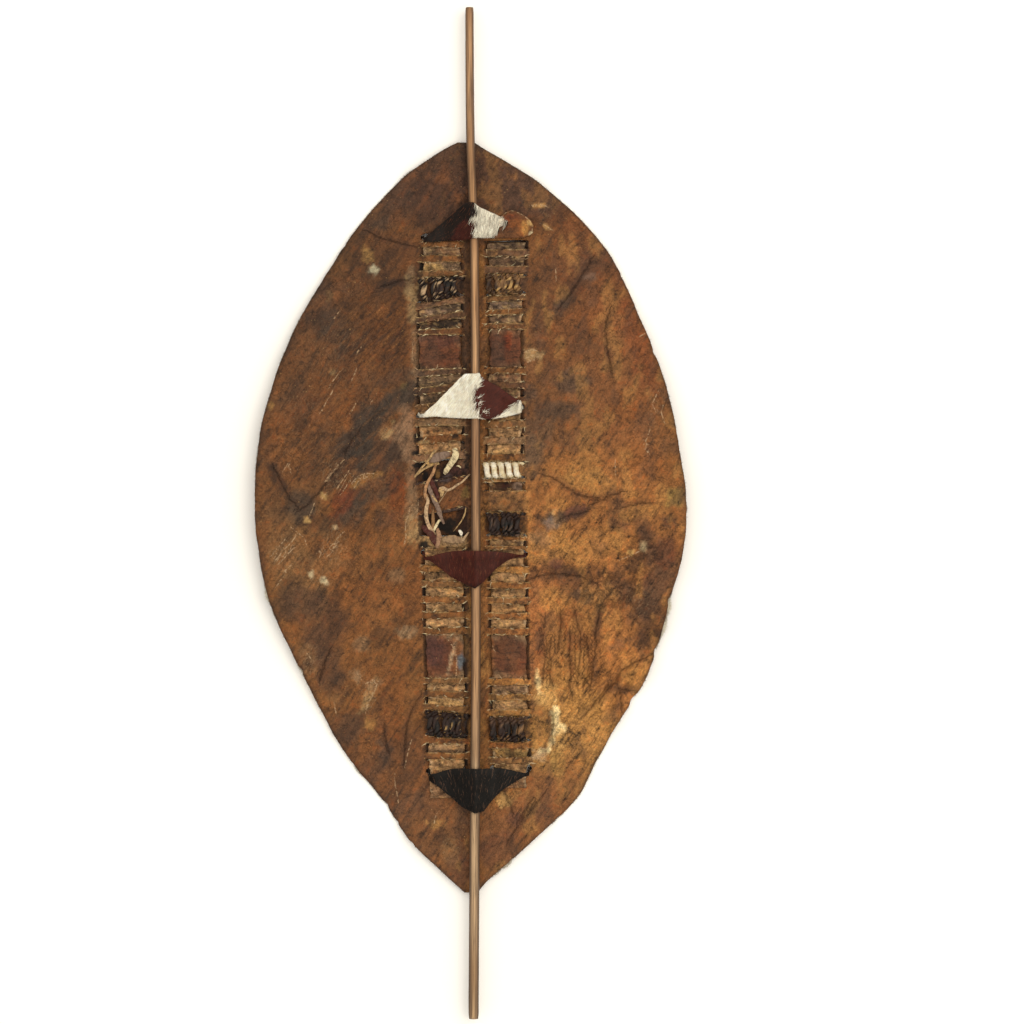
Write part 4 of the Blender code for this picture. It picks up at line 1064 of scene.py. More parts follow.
def makeStrip(name, node, column, top, bottom, flap=None):
    count = int((top - bottom) / strips["step"])
    ys = np.linspace(top, bottom, count)
    low, high = sides(column, ys, -strips["inset"])
    heights = np.zeros(count)
    for kind, barTop, barBottom, lift in column["barList"]:
        pad = 0.0012 if lift < 0 else 0.0
        share = np.clip((barTop + pad - ys) / (barTop - barBottom + 2 * pad), 0, 1)
        if lift < 0:
            heights += np.sin(np.pi * share) ** 0.7 * strips["bulge"] * min(1.0, (barTop - barBottom) / 0.006)
        if kind == "W":
            heights -= np.minimum(1, np.sin(np.pi * share) * 3) * strips["dip"]
    if flap:
        away = np.clip((column["foot"] + 0.009 - ys) / strips["flapTurn"], 0, 1)
        rise = ease(np.clip((column["foot"] + 0.006 - ys) / 0.008, 0, 1))
        heights = heights * (1 - rise) + rise * (hide["thickness"] / 2 + strips["thickness"] / 2 + 0.0005)
        width = (high - low) * (1 - flap["narrowing"] * away)
        if column["side"] < 0:
            low = low + (flap["edge"] - low) * away
            high = low + width
        else:
            high = high + (flap["edge"] - high) * away
            low = high - width
    low = low + (cloud(ys, ys * 0 + 3, 0.009, 1, 3) - 0.5) * strips["fray"]
    high = high + (cloud(ys, ys * 0 + 9, 0.009, 2, 3) - 0.5) * strips["fray"]
    share = np.linspace(0, 1, strips["across"])
    xs = low[:, None] + (high - low)[:, None] * share[None]
    gridY = np.repeat(ys[:, None], len(share), axis=1)
    slant = (cloud(ys, ys * 0 + 5, 0.05, 4, 2) - 0.5)[:, None] * (share - 0.5)[None]
    gridY = gridY + slant * strips["slant"] + slantOf(xs.ravel(), gridY.ravel()).reshape(gridY.shape)
    edge = np.abs(share * 2 - 1)[None] ** 6
    lumps = (cloud(xs, gridY, 0.009, 7, 2) - 0.6) * strips["lump"]
    zs = bandMiddle + heights[:, None] - edge * strips["curl"] + lumps
    middle = np.stack((xs, gridY, zs), axis=-1)
    half = np.zeros_like(middle)
    half[..., 2] = strips["thickness"] / 2
    points, faces = ribbon(middle, half)
    px, py = points[:, 0], points[:, 1]
    colours = paint(px, py, "dust", stripStains, 0.7)
    panel = np.zeros(len(px))
    for kind, barTop, barBottom, lift in column["barList"]:
        if kind == "P":
            panel += ease((barTop + 0.002 - py) / 0.002) * ease((py - barBottom + 0.002) / 0.002)
    dirty = ease((cloud(px, py * 1.6, 0.007, 23, 4) - 0.54) * 8) * 0.6 * (1 - panel * 0.7)
    tint(colours, "umber", dirty)
    dusty = ease((cloud(px, py * 2.2, 0.006, 25, 4) - 0.60) * 9) * 0.6 * (1 - panel)
    tint(colours, "wheat", dusty)
    warm = ease((at(0, 405)[1] - py) / 0.02) * (1 - panel)
    colours *= 1 + (np.array(strips["warmth"]) - 1) * warm[:, None]
    rows = 0.40 + 1.15 * cloud(px * 0.3, py, 0.010, 41, 2)
    colours *= (rows + (1 - rows) * panel)[:, None]
    fromMiddle = np.abs(np.tile(share, 2 * count) * 2 - 1)
    # paler at the strip's edges: frayed pale hide with a painted edge highlight
    frayedEdgeAndHighlight = (1 - panel) * ease((fromMiddle - 0.78) / 0.15) * 0.75
    frayedEdgeAndHighlight = frayedEdgeAndHighlight * ease((cloud(px, py, 0.005, 27, 3) - 0.5) * 8)
    tint(colours, "oat", frayedEdgeAndHighlight)
    scratch, scratchNear = strokes(px, py, stripScratches, 0.0045)
    marks = {"scratch": scratch, "scratchNear": scratchNear, "worn": 0.9 - 0.6 * panel}
    piece(name, points, faces, (stripSkin,), node, colours, marks)


makeStrip("stripLeftUpper", "strip_left_upper", leftColumn, 0.330, 0.066)
leftFlap, rightFlap = {"edge": -0.0490, "narrowing": 0.15}, {"edge": 0.066, "narrowing": 0.25}
makeStrip("stripLeftLower", "strip_left_lower", leftColumn, -0.030, -0.342, leftFlap)
makeStrip("stripRight", "strip_right", rightColumn, 0.3246, -0.330, rightFlap)
print("strips ready")

# thongs wound round the broad bars
wraps = {
    "wrapLeftTop": {"node": "wrap_left_top", "tones": ("black", "seal", "oat"), "tips": 0.17},
    "wrapLeftBottom": {
        "node": "wrap_left_bottom", "tones": ("black", "seal", "straw"), "tips": 0.02, "crown": "seal",
        "wider": 0.002,
    },
    "wrapRightTop": {"node": "wrap_right_top", "tones": ("umber", "tan", "straw"), "tips": 0.20, "dark": 500},
    "wrapRightMiddle": {
        "node": "wrap_right_middle", "tones": ("black", "seal", "taupe"), "tips": 0.06, "crown": "seal",
    },
    "wrapRightBottom": {
        "node": "wrap_right_bottom", "tones": ("black", "seal", "tan"), "tips": 0.08, "crown": "bark",
    },
    "wrapRightWhite": {
        "node": "wrap_right_white", "tones": ("bone", "cream", "straw"), "tips": 0.04, "wider": 0.0025,
        "knots": 0.0,
    },
}
winding = {
    "turns": 5, "outward": 0.0056, "inward": 0.0082, "perTurn": 52, "sides": 9, "twist": 3.2, "ply": 0.24,
    "plyApart": 0.19, "plyHeight": 0.0015, "plyThick": 0.0022, "flatWide": 0.31, "flatThick": 0.0020,
    "inY": 0.0022, "inZ": 0.0006, "humps": 0.0022, "hairs": 700, "paleHairs": 0.14,
}


def makeWrap(name, wrap, number):
    low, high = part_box(wrap["node"])
    middleY, middleZ = (low.y + high.y) / 2, (low.z + high.z) / 2
    onRight = low.x > axisX
    wider = wrap.get("wider", 0.0)
    left = low.x - (winding["inward"] if onRight else winding["outward"]) - wider
    right = high.x + (winding["outward"] if onRight else winding["inward"]) + wider
    halfY, halfZ = (high.y - low.y) / 2 - winding["inY"], (high.z - low.z) / 2 - winding["inZ"]
    turns, perTurn, knots = winding["turns"], winding["perTurn"], wrap.get("knots", 1.0)
    pitch = (right - left) / turns
    t = np.arange(turns * perTurn + 1) / perTurn
    angle = 2 * np.pi * t
    sway = (cloud(t, t * 0 + number, 0.35, number, 2) - 0.5) * pitch * 0.6 * knots
    xs = left + pitch * 0.5 + (t / turns) * (right - left - pitch) + sway
    c, s = np.cos(angle), np.sin(angle)
    reach = halfY * (1 + 0.10 * knots * (cloud(t, t * 0 + 7, 0.4, number, 2) - 0.5))
    ys = middleY + reach * np.sign(c) * np.abs(c) ** 0.45
    zs = middleZ + halfZ * np.sign(s) * np.abs(s) ** 0.6
    zs = zs + (s > 0) * (cloud(t, t * 0 + 4, 0.23, number + 2, 2) - 0.4) * winding["humps"] * knots
    path = np.column_stack((xs, ys, zs))
    around = np.linspace(0, 2 * np.pi, winding["sides"], endpoint=False)
    points, faces, depth = [], [], []
    strands = 2 if knots else 1
    for strand in range(strands):
        shapes = []
        for i, place in enumerate(t):
            wide, thick = pitch * winding["flatWide"], winding["flatThick"]
            aside, away = 0.0, 0.0
            if knots:
                quicker = 1.6 if i % perTurn < perTurn / 2 else 1
                turned = place * 2 * math.pi * winding["twist"] * quicker + strand * math.pi
                phase = (place % 1 - 0.25) / 0.13
                waver = 0.28 * math.sin(place * 33 + number + strand * 2)
                swell = 0.80 + 0.35 * math.exp(-phase * phase) + waver
                wide, thick = pitch * winding["ply"] * swell, winding["plyThick"] * swell
                aside = pitch * winding["plyApart"] * math.cos(turned)
                away = winding["plyHeight"] * math.sin(turned)
            wear = 1 + 0.16 * np.sin(4 * around + place * 19 + strand)
            outline = (aside + np.cos(around) * wide * wear, away + np.sin(around) * thick * wear)
            shapes.append(list(zip(*outline)))
            depth += list(away / 0.0013 + np.sin(around) * 0.6)
        more, moreFaces = windingTube(path, (middleY, middleZ), shapes)
        faces += [tuple(corner + len(points) for corner in face) for face in moreFaces]
        points += list(more)
    points, depth = np.array(points), np.array(depth)
    shade = cloud(points[:, 0], points[:, 1] + points[:, 2], 0.006, number, 3)
    first, second, third = (tone(each) for each in wrap["tones"])
    colours = first + (second - first) * ease((shade - 0.35) * 3.5)[:, None]
    # the third tone on the raised crests is partly the pale thong and partly painted highlight
    tips = cloud(points[:, 0], points[:, 1], 0.004, number + 3, 2) - 0.72 + wrap["tips"]
    colours += (third - colours) * (ease((depth - 0.6) * 1.3) * ease(tips * 9))[:, None]
    if "crown" in wrap:  # its upper part is browner
        tint(colours, wrap["crown"], ease((points[:, 1] - middleY) / halfY * 1.4 - 0.2) * 0.75)
    if "dark" in wrap:  # its left part is sooty
        tint(colours, "seal", ease((at(wrap["dark"], 0)[0] - points[:, 0]) / 0.012) * 0.85)
    points[:, 1] += slantOf(points[:, 0], points[:, 1])
    fuzz = blades(*fuzzOn(points, wrap, number), len(points))
    points, colours = np.vstack((points, fuzz[0])), np.vstack((colours, fuzz[2]))
    finish, slot = (thongDark, "thong_dark") if knots else (thongCream, "thong_white")
    piece(name, points, faces + fuzz[1], (finish,), wrap["node"], colours)


def fuzzOn(points, wrap, number):  # loose hairs that stand off a wound thong
    rng = np.random.default_rng(number + 40)
    roots = points[rng.integers(0, len(points), winding["hairs"])]
    roots = roots[roots[:, 2] > bandMiddle + 0.001]
    size = len(roots)
    angle = rng.uniform(0, 2 * np.pi, size)
    way = np.column_stack((np.cos(angle), np.sin(angle), rng.uniform(0.0, 0.25, size)))
    isPale = rng.random(size) < winding["paleHairs"]
    colours = np.where(isPale[:, None], tone(wrap["tones"][2]), tone(wrap["tones"][1]))
    up = np.tile((0.0, 0.0, 1.0), (size, 1))
    return roots, way, up, rng.uniform(0.0015, 0.0042, size), rng.uniform(0.00012, 0.00022, size), colours


# short tapered hairs, with their corners numbered from start
def blades(roots, ways, normals, lengths, widths, colours, start, sag=0.0, bend=0.15):
    rng = np.random.default_rng(3)
    size = len(roots)
    across = np.cross(normals, ways)
    across /= np.linalg.norm(across, axis=1, keepdims=True)
    lengths, widths = lengths[:, None], widths[:, None]
    curl = rng.normal(0, bend, size)[:, None]
    middles = roots + ways * lengths * 0.5 + across * lengths * curl * 0.3
    tips = roots + ways * lengths + across * lengths * curl - normals * lengths * sag
    half = across * widths
    corners = (roots - half, roots + half, middles + half * 0.8, middles - half * 0.8, tips)
    points = np.stack(corners, axis=1).reshape(-1, 3)
    base = start + np.arange(size) * 5
    faces = [(b, b + 1, b + 2, b + 3) for b in base] + [(b + 3, b + 2, b + 4) for b in base]
    return points, faces, np.repeat(colours, 5, axis=0)


# a tube whose width lies along X and whose thickness points out from the bar
def windingTube(path, centre, shapes):
    points = []
    for i, (x, y, z) in enumerate(path):
        before, after = path[max(i - 1, 0)], path[min(i + 1, len(path) - 1)]
        along = Vector(after - before).normalized()
        outward = along.cross(Vector((1, 0, 0))).normalized()
        if outward.dot(Vector((0, y - centre[0], z - centre[1]))) < 0:
            outward = -outward
        width = outward.cross(along)
        here = Vector((x, y, z))
        points += [here + width * a + outward * b for a, b in shapes[i]]
    return np.array(points), tubeFaces(len(path), len(shapes[0]))


for number, (name, wrap) in enumerate(wraps.items()):
    makeWrap(name, wrap, number)
print("wound thongs ready")

# straps of hide with the hair on: edges are x from the stick and y of the upper and lower edge in mm,
# lay is x and the way of the hairs in degrees, coat is a tone and its outline on the photo
straps = {
    "strapTop": {
        "node": "strap_top", "slot": "hair_brown_white", "holes": (0, None), "hairs": 11000,
        "base": "coal", "spread": (0.38, 1.15), "glint": ("liver", 0.05),
        "edges": "-60.5 328 325.5  -45 341 326  -30 354 327  -15 367 327  -9 372 328  0 372 329  5.5 367 330"
        "  20 361 330  32 355 330  38 360 330  44 363 330  50 362.5 330  60 357.5 331  67 352.5 333"
        "  71.5 344 337",
        "lay": "-60 222  -10 232  0 250  12 270  35 245",
        "coat": "wine 452,244 458,226 466,218 477,214 478,244;"
        " bone 474,200 484,204 492,211 502,217 508,222 500,227 494,232 493,236 480,240 475,239 475,228"
        " 478,220 471,217 478,210",
        "hairy": "418,243 440,222 466,200 480,204 492,211 502,217 508,222 500,228 494,232 493,238 480,241"
        " 450,242",
    },
    "strapUpper": {
        "node": "strap_upper", "slot": "hair_white_brown", "holes": (1, 0), "hairs": 15000,
        "base": "bone", "spread": (0.75, 1.35), "glint": ("oat", 0.0),
        "edges": "-61 118.5 115.5  -48 131 116.5  -30 149 115  -12 167 114  5 167 113.5  8 162.5 113"
        "  15 158.5 113  30 150 115  44 139.5 118  56 134 121  60 127 123",
        "lay": "-60 224  -20 229  0 238  9 248  14 225  50 205",
        "wisps": (
            ("474,375 481,374 484,381 479,388 476,392", 42, 420),
            ("477,392 481,398 484,410 482,417 477,410", 20, 260),
        ),
        "coat": "wine 479,376 490,376 503,383 521,398 518,402 509,409 497,416 487,421 483,414 478,404"
        " 476,392",
    },
    "strapLower": {
        "node": "strap_lower", "slot": "hair_red_brown", "holes": (2, 1), "hairs": 10000,
        "base": "wine", "spread": (0.5, 1.4), "glint": ("liver", 0.05),
        "edges": "-56 -53 -56  -46 -49.5 -63  -30 -46 -76  -14 -45 -84  -1 -45 -90  8 -45 -83  22 -46 -68"
        "  38 -48 -56  50 -50.5 -52.5",
        "lay": "-50 290  0 272  40 250",
        "coat": "black 466,576 474,590 483,578 474,582",
    },
    "strapBottom": {
        "node": "strap_bottom", "slot": "hair_black", "holes": (3, 2), "hairs": 10000,
        "base": "black", "spread": (0.4, 1.6), "glint": ("bark", 0.05),
        "edges": "-59 -315.5 -318.5  -46 -312 -326  -30 -307 -339  -15 -306 -352  0 -306 -359  10 -306 -357"
        "  22 -306 -342  34 -306.5 -331  48 -309.5 -322  59 -312 -315",
        "lay": "-50 300  0 270  40 240",
    },
}
tab = {
    "tones": "brick 510,222 12,8 0.6; rust 518,226 12,9,20 0.8; honey 525,228 4,7 0.9;"
    " umber 506,230 12,4 0.5; straw 530,223 4,3,-40 0.8; cream 531,234 3,3 0.8",
    "rim": "501,217 505,213 510,210.5 515,211 523,215 529,220 533,226 532,232 528,236",
}
strapShape = {
    "thickness": 0.0021, "tail": 0.0026, "tailDepth": 0.0045, "heel": 0.0070, "reach": 0.0055, "throat": 0.76,
    "slack": 0.0004, "across": 22, "step": 0.0013, "hairLength": 0.0105, "hairWidth": 0.00024, "over": 0.0007,
    "bend": (-38, -19, 0, 19, 38), "looseFrom": 0.028, "looseRise": 0.0008, "looseStep": 0.0004,
    "ragged": 0.0012, "curl": 0.0004, "lumps": 0.0006, "depth": 0.75, "tailStart": 0.02,
}


def strapHole(column, number):  # x and y of the hole that takes a tail
    holes = [(top, bottom) for top, bottom in column["openings"] if top - bottom > slit["hole"]]
    top, bottom = holes[number]
    y = (top + bottom) / 2
    return float(side(column, "outer", y)) - column["side"] * slit["ramp"] / 2, y


def coatOf(xs, ys, strap):  # the colours of the hair at a place
    colours = np.tile(tone(strap["base"]), (len(xs), 1))
    for name, line in [patch.split(maxsplit=1) for patch in strap.get("coat", "").split(";") if patch]:
        colours[insideRing(xs, ys, route(line))] = tone(name)
    return colours


def makeStrap(name, strap):
    numbers = np.array(strap["edges"].split(), float).reshape(-1, 3) / 1000
    edgeX, edgeTop, edgeBottom = numbers.T
    middleY = (edgeTop[len(edgeX) // 2] + edgeBottom[len(edgeX) // 2]) / 2
    centre, radius = float(stickX(middleY)), float(stickRadius(middleY))
    axisHeight = hide["thickness"] / 2 + hide["gap"] + radius
    reach = radius + hide["gap"] + strapShape["thickness"] / 2 + strapShape["slack"]
    rows = []  # x from the stick, height, upper and lower y

    def add(x, z, hole=None):
        if hole is None:
            rows.append((x, z, np.interp(x, edgeX, edgeTop), np.interp(x, edgeX, edgeBottom)))
        else:
            rows.append((x, z, hole + strapShape["tail"] / 2, hole - strapShape["tail"] / 2))

    ends = []
    for column, number in zip(columns, strap["holes"]):
        if number is None:
            flat = hide["thickness"] / 2 + strapShape["thickness"] / 2 + strapShape["looseRise"]
            loose = edgeX[edgeX > strapShape["looseFrom"]]
            ends.append([(x, flat + strapShape["looseStep"] * k, None) for k, x in enumerate(loose)])
            continue
        x, y = strapHole(column, number)
        x -= centre
        inward = -column["side"] * strapShape["reach"]
        heel = strapShape["heel"]
        throat = strapShape["throat"]
        between = []
        for xe in edgeX:
            beside = abs(xe) > strapShape["tailStart"] and xe * column["side"] > 0
            if beside and (xe - x - inward) * inward > 0.004 * abs(inward):
                between.append((xe, heel * 0.93, None))
        between.sort(key=lambda place: -abs(place[0]))
        tail = [(x + inward, heel, None), (x + inward * throat, heel * throat, y), (x, 0.0, y)]
        ends.append(between[::-1] + tail + [(x - inward * 0.3, -strapShape["tailDepth"], y)])
    for x, z, hole in ends[0][::-1]:
        add(x, z, hole)
    for angle in strapShape["bend"]:
        a = math.radians(angle)
        add(reach * math.sin(a), axisHeight + reach * math.cos(a))
    for x, z, hole in ends[1]:
        add(x, z, hole)
    rows = np.array(rows)
    lengths = np.concatenate(([0], np.cumsum(np.hypot(np.diff(rows[:, 0]), np.diff(rows[:, 1])))))
    wanted = np.linspace(0, lengths[-1], int(lengths[-1] / strapShape["step"]))
    x, z = (through(lengths, rows[:, k], wanted) for k in (0, 1))
    high, low = (np.interp(wanted, lengths, rows[:, k]) for k in (2, 3))
    inSight = z > 0.002
    high, low = np.where(inSight, [np.interp(x, edgeX, line) for line in (edgeTop, edgeBottom)], (high, low))
    high += (cloud(x, x * 0 + 1, 0.008, 1, 3) - 0.5) * strapShape["ragged"]
    low += (cloud(x, x * 0 + 2, 0.008, 2, 3) - 0.5) * strapShape["ragged"]
    high = np.maximum(high, low + 0.0012)
    share = np.linspace(0, 1, strapShape["across"])
    gridX = np.repeat((centre + x)[:, None], len(share), axis=1)
    gridY = low[:, None] + (high - low)[:, None] * share[None]
    edge = np.abs(share * 2 - 1)[None] ** 4
    lumps = (cloud(gridX, gridY, 0.011, 3, 2) - 0.4) * strapShape["lumps"]
    gridZ = bandMiddle + z[:, None] - edge * strapShape["curl"] + lumps
    middle = np.stack((gridX, gridY, gridZ), axis=-1)
    normal = np.cross(np.gradient(middle, axis=0), np.gradient(middle, axis=1))
    normal /= np.linalg.norm(normal, axis=-1, keepdims=True)
    points, faces = ribbon(middle, normal * strapShape["thickness"] / 2)
    px, py = points[:, 0], points[:, 1]
    colours = coatOf(px, py, strap) * strapShape["depth"]
    rimAway, rimNear = np.ones(len(points)), np.zeros(len(points))
    if "hairy" in strap:
        bald = ~insideRing(px, py, route(strap["hairy"])) & (px > axisX)
        colours = np.where(bald[:, None], paint(px, py, "chestnut", tab["tones"], 0.5), colours)
        rimAway, rimNear = strokes(px, py, tab["rim"], 0.004)
    kinds = [1] * len(faces)
    blade = hairs(strap, middle, normal, centre, numbers.T, len(points))
    none = np.zeros(len(blade[0]))
    marks = {"scratch": np.concatenate((rimAway, none + 1)), "scratchNear": np.concatenate((rimNear, none))}
    points, colours = np.vstack((points, blade[0])), np.vstack((colours, blade[2]))
    finishes, kinds = (hair, stripSkin), kinds + [0] * len(blade[1])
    piece(name, points, faces + blade[1], finishes, strap["node"], colours, marks, kinds)


def hairs(strap, middle, normal, centre, edges, start):  # hairs lying over a strap
    rows, columnsAcross = middle.shape[:2]
    rng = np.random.default_rng(5)
    corner = middle[:-1, :-1]
    areas = np.linalg.norm(np.cross(middle[1:, :-1] - corner, middle[:-1, 1:] - corner), axis=-1).ravel()
    picked = rng.choice(len(areas), strap["hairs"], p=areas / areas.sum())
    iu, iv = picked // (columnsAcross - 1), picked % (columnsAcross - 1)
    fu, fv = rng.random(len(picked))[:, None], rng.random(len(picked))[:, None]

    def blend(grid):
        upper = grid[iu, iv] * (1 - fv) + grid[iu, iv + 1] * fv
        return upper * (1 - fu) + (grid[iu + 1, iv] * (1 - fv) + grid[iu + 1, iv + 1] * fv) * fu

    roots, normals = blend(middle), blend(normal)
    keep = roots[:, 2] > bandMiddle + 0.0035
    if "hairy" in strap:
        loose = rng.normal(0, 0.0008, (len(roots), 2))
        x, y = roots[:, 0] + loose[:, 0], roots[:, 1] + loose[:, 1]
        keep &= (roots[:, 0] < axisX) | insideRing(x, y, route(strap["hairy"]))
    roots, normals = roots[keep], normals[keep]
    normals /= np.linalg.norm(normals, axis=1, keepdims=True)
    normals *= np.sign(normals[:, 2:3] + 1e-9)
    roots = roots + normals * strapShape["thickness"] / 2
    size = len(roots)
    fromStick = roots[:, 0] - centre
    layX, layAngle = np.array(strap["lay"].split(), float).reshape(-1, 2).T
    patchy = (cloud(roots[:, 0], roots[:, 1], 0.014, 4, 2) - 0.5) * 22
    angle = np.interp(fromStick * 1000, layX, layAngle) + patchy + rng.normal(0, 5, size)
    wisp = np.zeros(size, bool)
    for line, lean, count in strap.get("wisps", ()):
        inside = np.flatnonzero(insideRing(roots[:, 0], roots[:, 1], route(line)))[:count]
        angle[inside] = lean + rng.normal(0, 14, len(inside))
        wisp[inside] = True
    angle = np.radians(angle)
    flat = np.column_stack((np.cos(angle), np.sin(angle), np.zeros(size)))
    flat -= normals * np.sum(flat * normals, axis=1, keepdims=True)
    flat /= np.linalg.norm(flat, axis=1, keepdims=True)
    lengths = strapShape["hairLength"] * rng.uniform(0.6, 1.15, size)
    over = strapShape["over"] * rng.uniform(0.0, 2.2, size)
    for attempt in range(9):  # hairs near the edge are shorter
        tips = roots + flat * lengths[:, None]
        tipX, tipY = tips[:, 0] - centre, tips[:, 1]
        out = tipY > np.interp(tipX, edges[0], edges[1]) + over
        out |= tipY < np.interp(tipX, edges[0], edges[2]) - over
        out |= (tipX < edges[0][0] - over) | (tipX > edges[0][-1] + over)
        lengths = np.where(out, lengths * 0.72, lengths)
    widths = strapShape["hairWidth"] * rng.uniform(0.7, 1.3, size)
    rising = flat + normals * rng.uniform(0.04, 0.13, size)[:, None]
    jitter = rng.normal(0, 0.0012, (size, 2))
    jitter[wisp] = 0
    own = coatOf(roots[:, 0] + jitter[:, 0], roots[:, 1] + jitter[:, 1], strap)
    clump = cloud(roots[:, 0] * 1.7 + roots[:, 1], roots[:, 1] - roots[:, 0] * 0.4, 0.0042, 6, 3)
    glint, many = strap["glint"]
    own = np.where((rng.random(size) < many * 2 * clump)[:, None], tone(glint), own)
    own = np.minimum(own * (rng.uniform(*strap["spread"], size) * (0.6 + 0.8 * clump))[:, None], 0.95)
    return blades(roots, rising, normals, lengths, widths, own, start, 0.04, 0.07)


for name, strap in straps.items():
    makeStrap(name, strap)
print("straps ready")

# the torn lacing: tone, thickness and height in mm, and its way as places on the photo with its width there
torn = {
    "strands": (
        ("rust", 1.2, 1.4, "437,448,3 441,446,5 445,444.5,5 452,446,3"),
        ("stone", 1.6, 1.8, "429,461,3 434,459,8 441,456,9 450,453,5"),
        ("seal", 1.0, -0.6, "414,484.4,3 437,480.8,4 462,476,3"),
        ("seal", 1.0, -0.6, "414,516.6,3 437,512.3,4 468,507,3"),
        ("wheat", 1.0, 2.4, "439,447,2 434,452,2.6 430,458,2.4 425,464,2.2 419,471,2 414,478,1.4"),
        ("wheat", 1.0, 1.6, "440,463,3 434,464,3 427,467,2.6 421,471,2 416,476,1.2"),
        ("reed", 1.4, 2.6, "436,463,3 433,473,3 429,480,3 426,487,3.4 425,494,3 426,500,2"),
        ("wine", 1.6, 1.0, "431,478,3 433,486,5 437,494,5 438,501,3"),
        ("stone", 1.5, 2.6, "428,482,2 430,490,4 434,499,4.6 438,508,5 441,517,4 444,524,2"),
        ("wheat", 0.8, 3.4, "431,494,1.4 434,498,1.8 438,503,1.4"),
        ("oat", 1.5, 2.6, "426,494,2 428,501,3 426.5,508,4 426,516,4.4 428,524,4 432,531,3.6 437,536,2"),
        ("tan", 1.2, 3.0, "433,508,1.6 433,516,2.8 433,524,3.4 432,532,3"),
        ("cream", 1.2, 3.6, "443,519,1.4 439,521,2.6 436,526,3 433,532,2.4"),
        ("rose", 1.6, 2.6, "437,528,3 439,535,5 438,543,5 437,548,4"),
        ("wine", 2.0, 1.8, "422,526,4 426,529,7 431,535,8 436,542,7 437,547,4"),
        ("wheat", 0.8, 1.6, "466,506,1 465,513,1.6 462,520,1.6 457,527,1 453,532,0.8"),
        ("oat", 0.9, 1.8, "462,542,1.6 465,537,2.2 469,532,1.4"),
        ("straw", 1.0, 2.0, "424,459,1 427,462,4 431,464,4 435,462,1.6"),
        ("dust", 1.2, 0.6, "441,541,4 449,539,8 458,540,8 465,541,4"),
        ("cream", 0.9, 0.8, "456,466,1 459,466,1.8 461,468,1"),
        ("bone", 1.2, 1.2, "459,530,2 461,533,4 461,536,2"),
    ),
    "edge": (
        ("oat", 1.6, 1.6, "470,474,1.6 466,478,2.2 462,482,1.8 457,485,2.4 452,488.5,2.6 448,490,3"
         " 443,488.5,4 439,488,3"),
        ("wheat", 1.2, 1.8, "439,489,4 442,492,5 441,497,2"),
        ("dust", 0.8, 1.2, "447,491,1.2 443,497,1.2 438,504,1.2"),
    ),
    "band": ("cream", 1.6, 3.0, "451,446,3 455,450,6 455.5,456,6.6 452,462,6.6 448,468,6 444,474,3.4"),
}


def strandMesh(tag, thickness, above, line, number):
    places = np.array([list(map(float, place.split(","))) for place in line.split()])
    xs, ys = at(places[:, 0], places[:, 1])
    lengths = np.concatenate(([0], np.cumsum(np.hypot(np.diff(xs), np.diff(ys)))))
    wanted = np.linspace(0, lengths[-1], max(8, int(lengths[-1] / 0.0007)))
    px, py = through(lengths, xs, wanted), through(lengths, ys, wanted)
    width = through(lengths, places[:, 2], wanted) * pixel / 2
    ground = rimHeight(px, py) + liftOf(px, py) + hide["thickness"] / 2
    padded = np.pad(np.maximum(ground, ground.mean() - 0.001), 6, "edge")
    share = wanted / wanted[-1]
    tucked = ease(share * 6) * ease((1 - share) * 6)
    heights = np.convolve(padded, np.ones(13) / 13, "valid") + above / 1000 * tucked - 0.0006 * (1 - tucked)
    around = np.linspace(0, 2 * np.pi, 9, endpoint=False)
    shapes = []
    for i in range(len(wanted)):
        ragged = 1 + 0.4 * (cloud(np.array([wanted[i]]), np.array([number * 0.1]), 0.004, 3, 2)[0] - 0.5)
        lean = 0.5 * math.sin(wanted[i] * 260 + number)
        over = np.sin(around) * thickness / 2000 + np.cos(around) * width[i] * 0.4 * lean
        shapes.append(list(zip(np.cos(around) * width[i] * ragged, over)))
    points, faces = tube(list(zip(px, py, heights)), shapes)
    fibres = cloud(points[:, 0] * 3, points[:, 1] * 3, 0.005, number, 3)
    colours = np.tile(tone(tag), (len(points), 1))
    tint(colours, "bark", ease((0.5 - fibres) * 6) * 0.6)
    # painted light and shade: the upper half of each strand's ring is lighter and the lower half darker
    return points, faces, colours * (0.85 + 0.3 * (np.arange(len(points)) % 9 < 5))[:, None]


def makeTorn(name, strands, finish, node=""):
    points, faces, colours = np.zeros((0, 3)), [], np.zeros((0, 3))
    for number, strand in enumerate(strands):
        more, moreFaces, moreColours = strandMesh(*strand, number)
        faces += [tuple(corner + len(points) for corner in face) for face in moreFaces]
        points, colours = np.vstack((points, more)), np.vstack((colours, moreColours))
    piece(name, points, faces, (finish,), node, colours)


makeTorn("tornLacing", torn["strands"], tornSkin, "thong_torn")
makeTorn("tornBand", (torn["band"],), thongCream, "thong_white_stub")
makeTorn("tornEdge", torn["edge"], tornSkin)
print("torn lacing ready")

# frayed fibres along the cut edges of the bars
fibres = {
    "count": 600, "tones": ("oat", "wheat", "cream", "seal", "reed"),
    "length": (0.0022, 0.0068), "width": (0.0002, 0.00048), "turn": 0.55, "rise": 0.3,
}


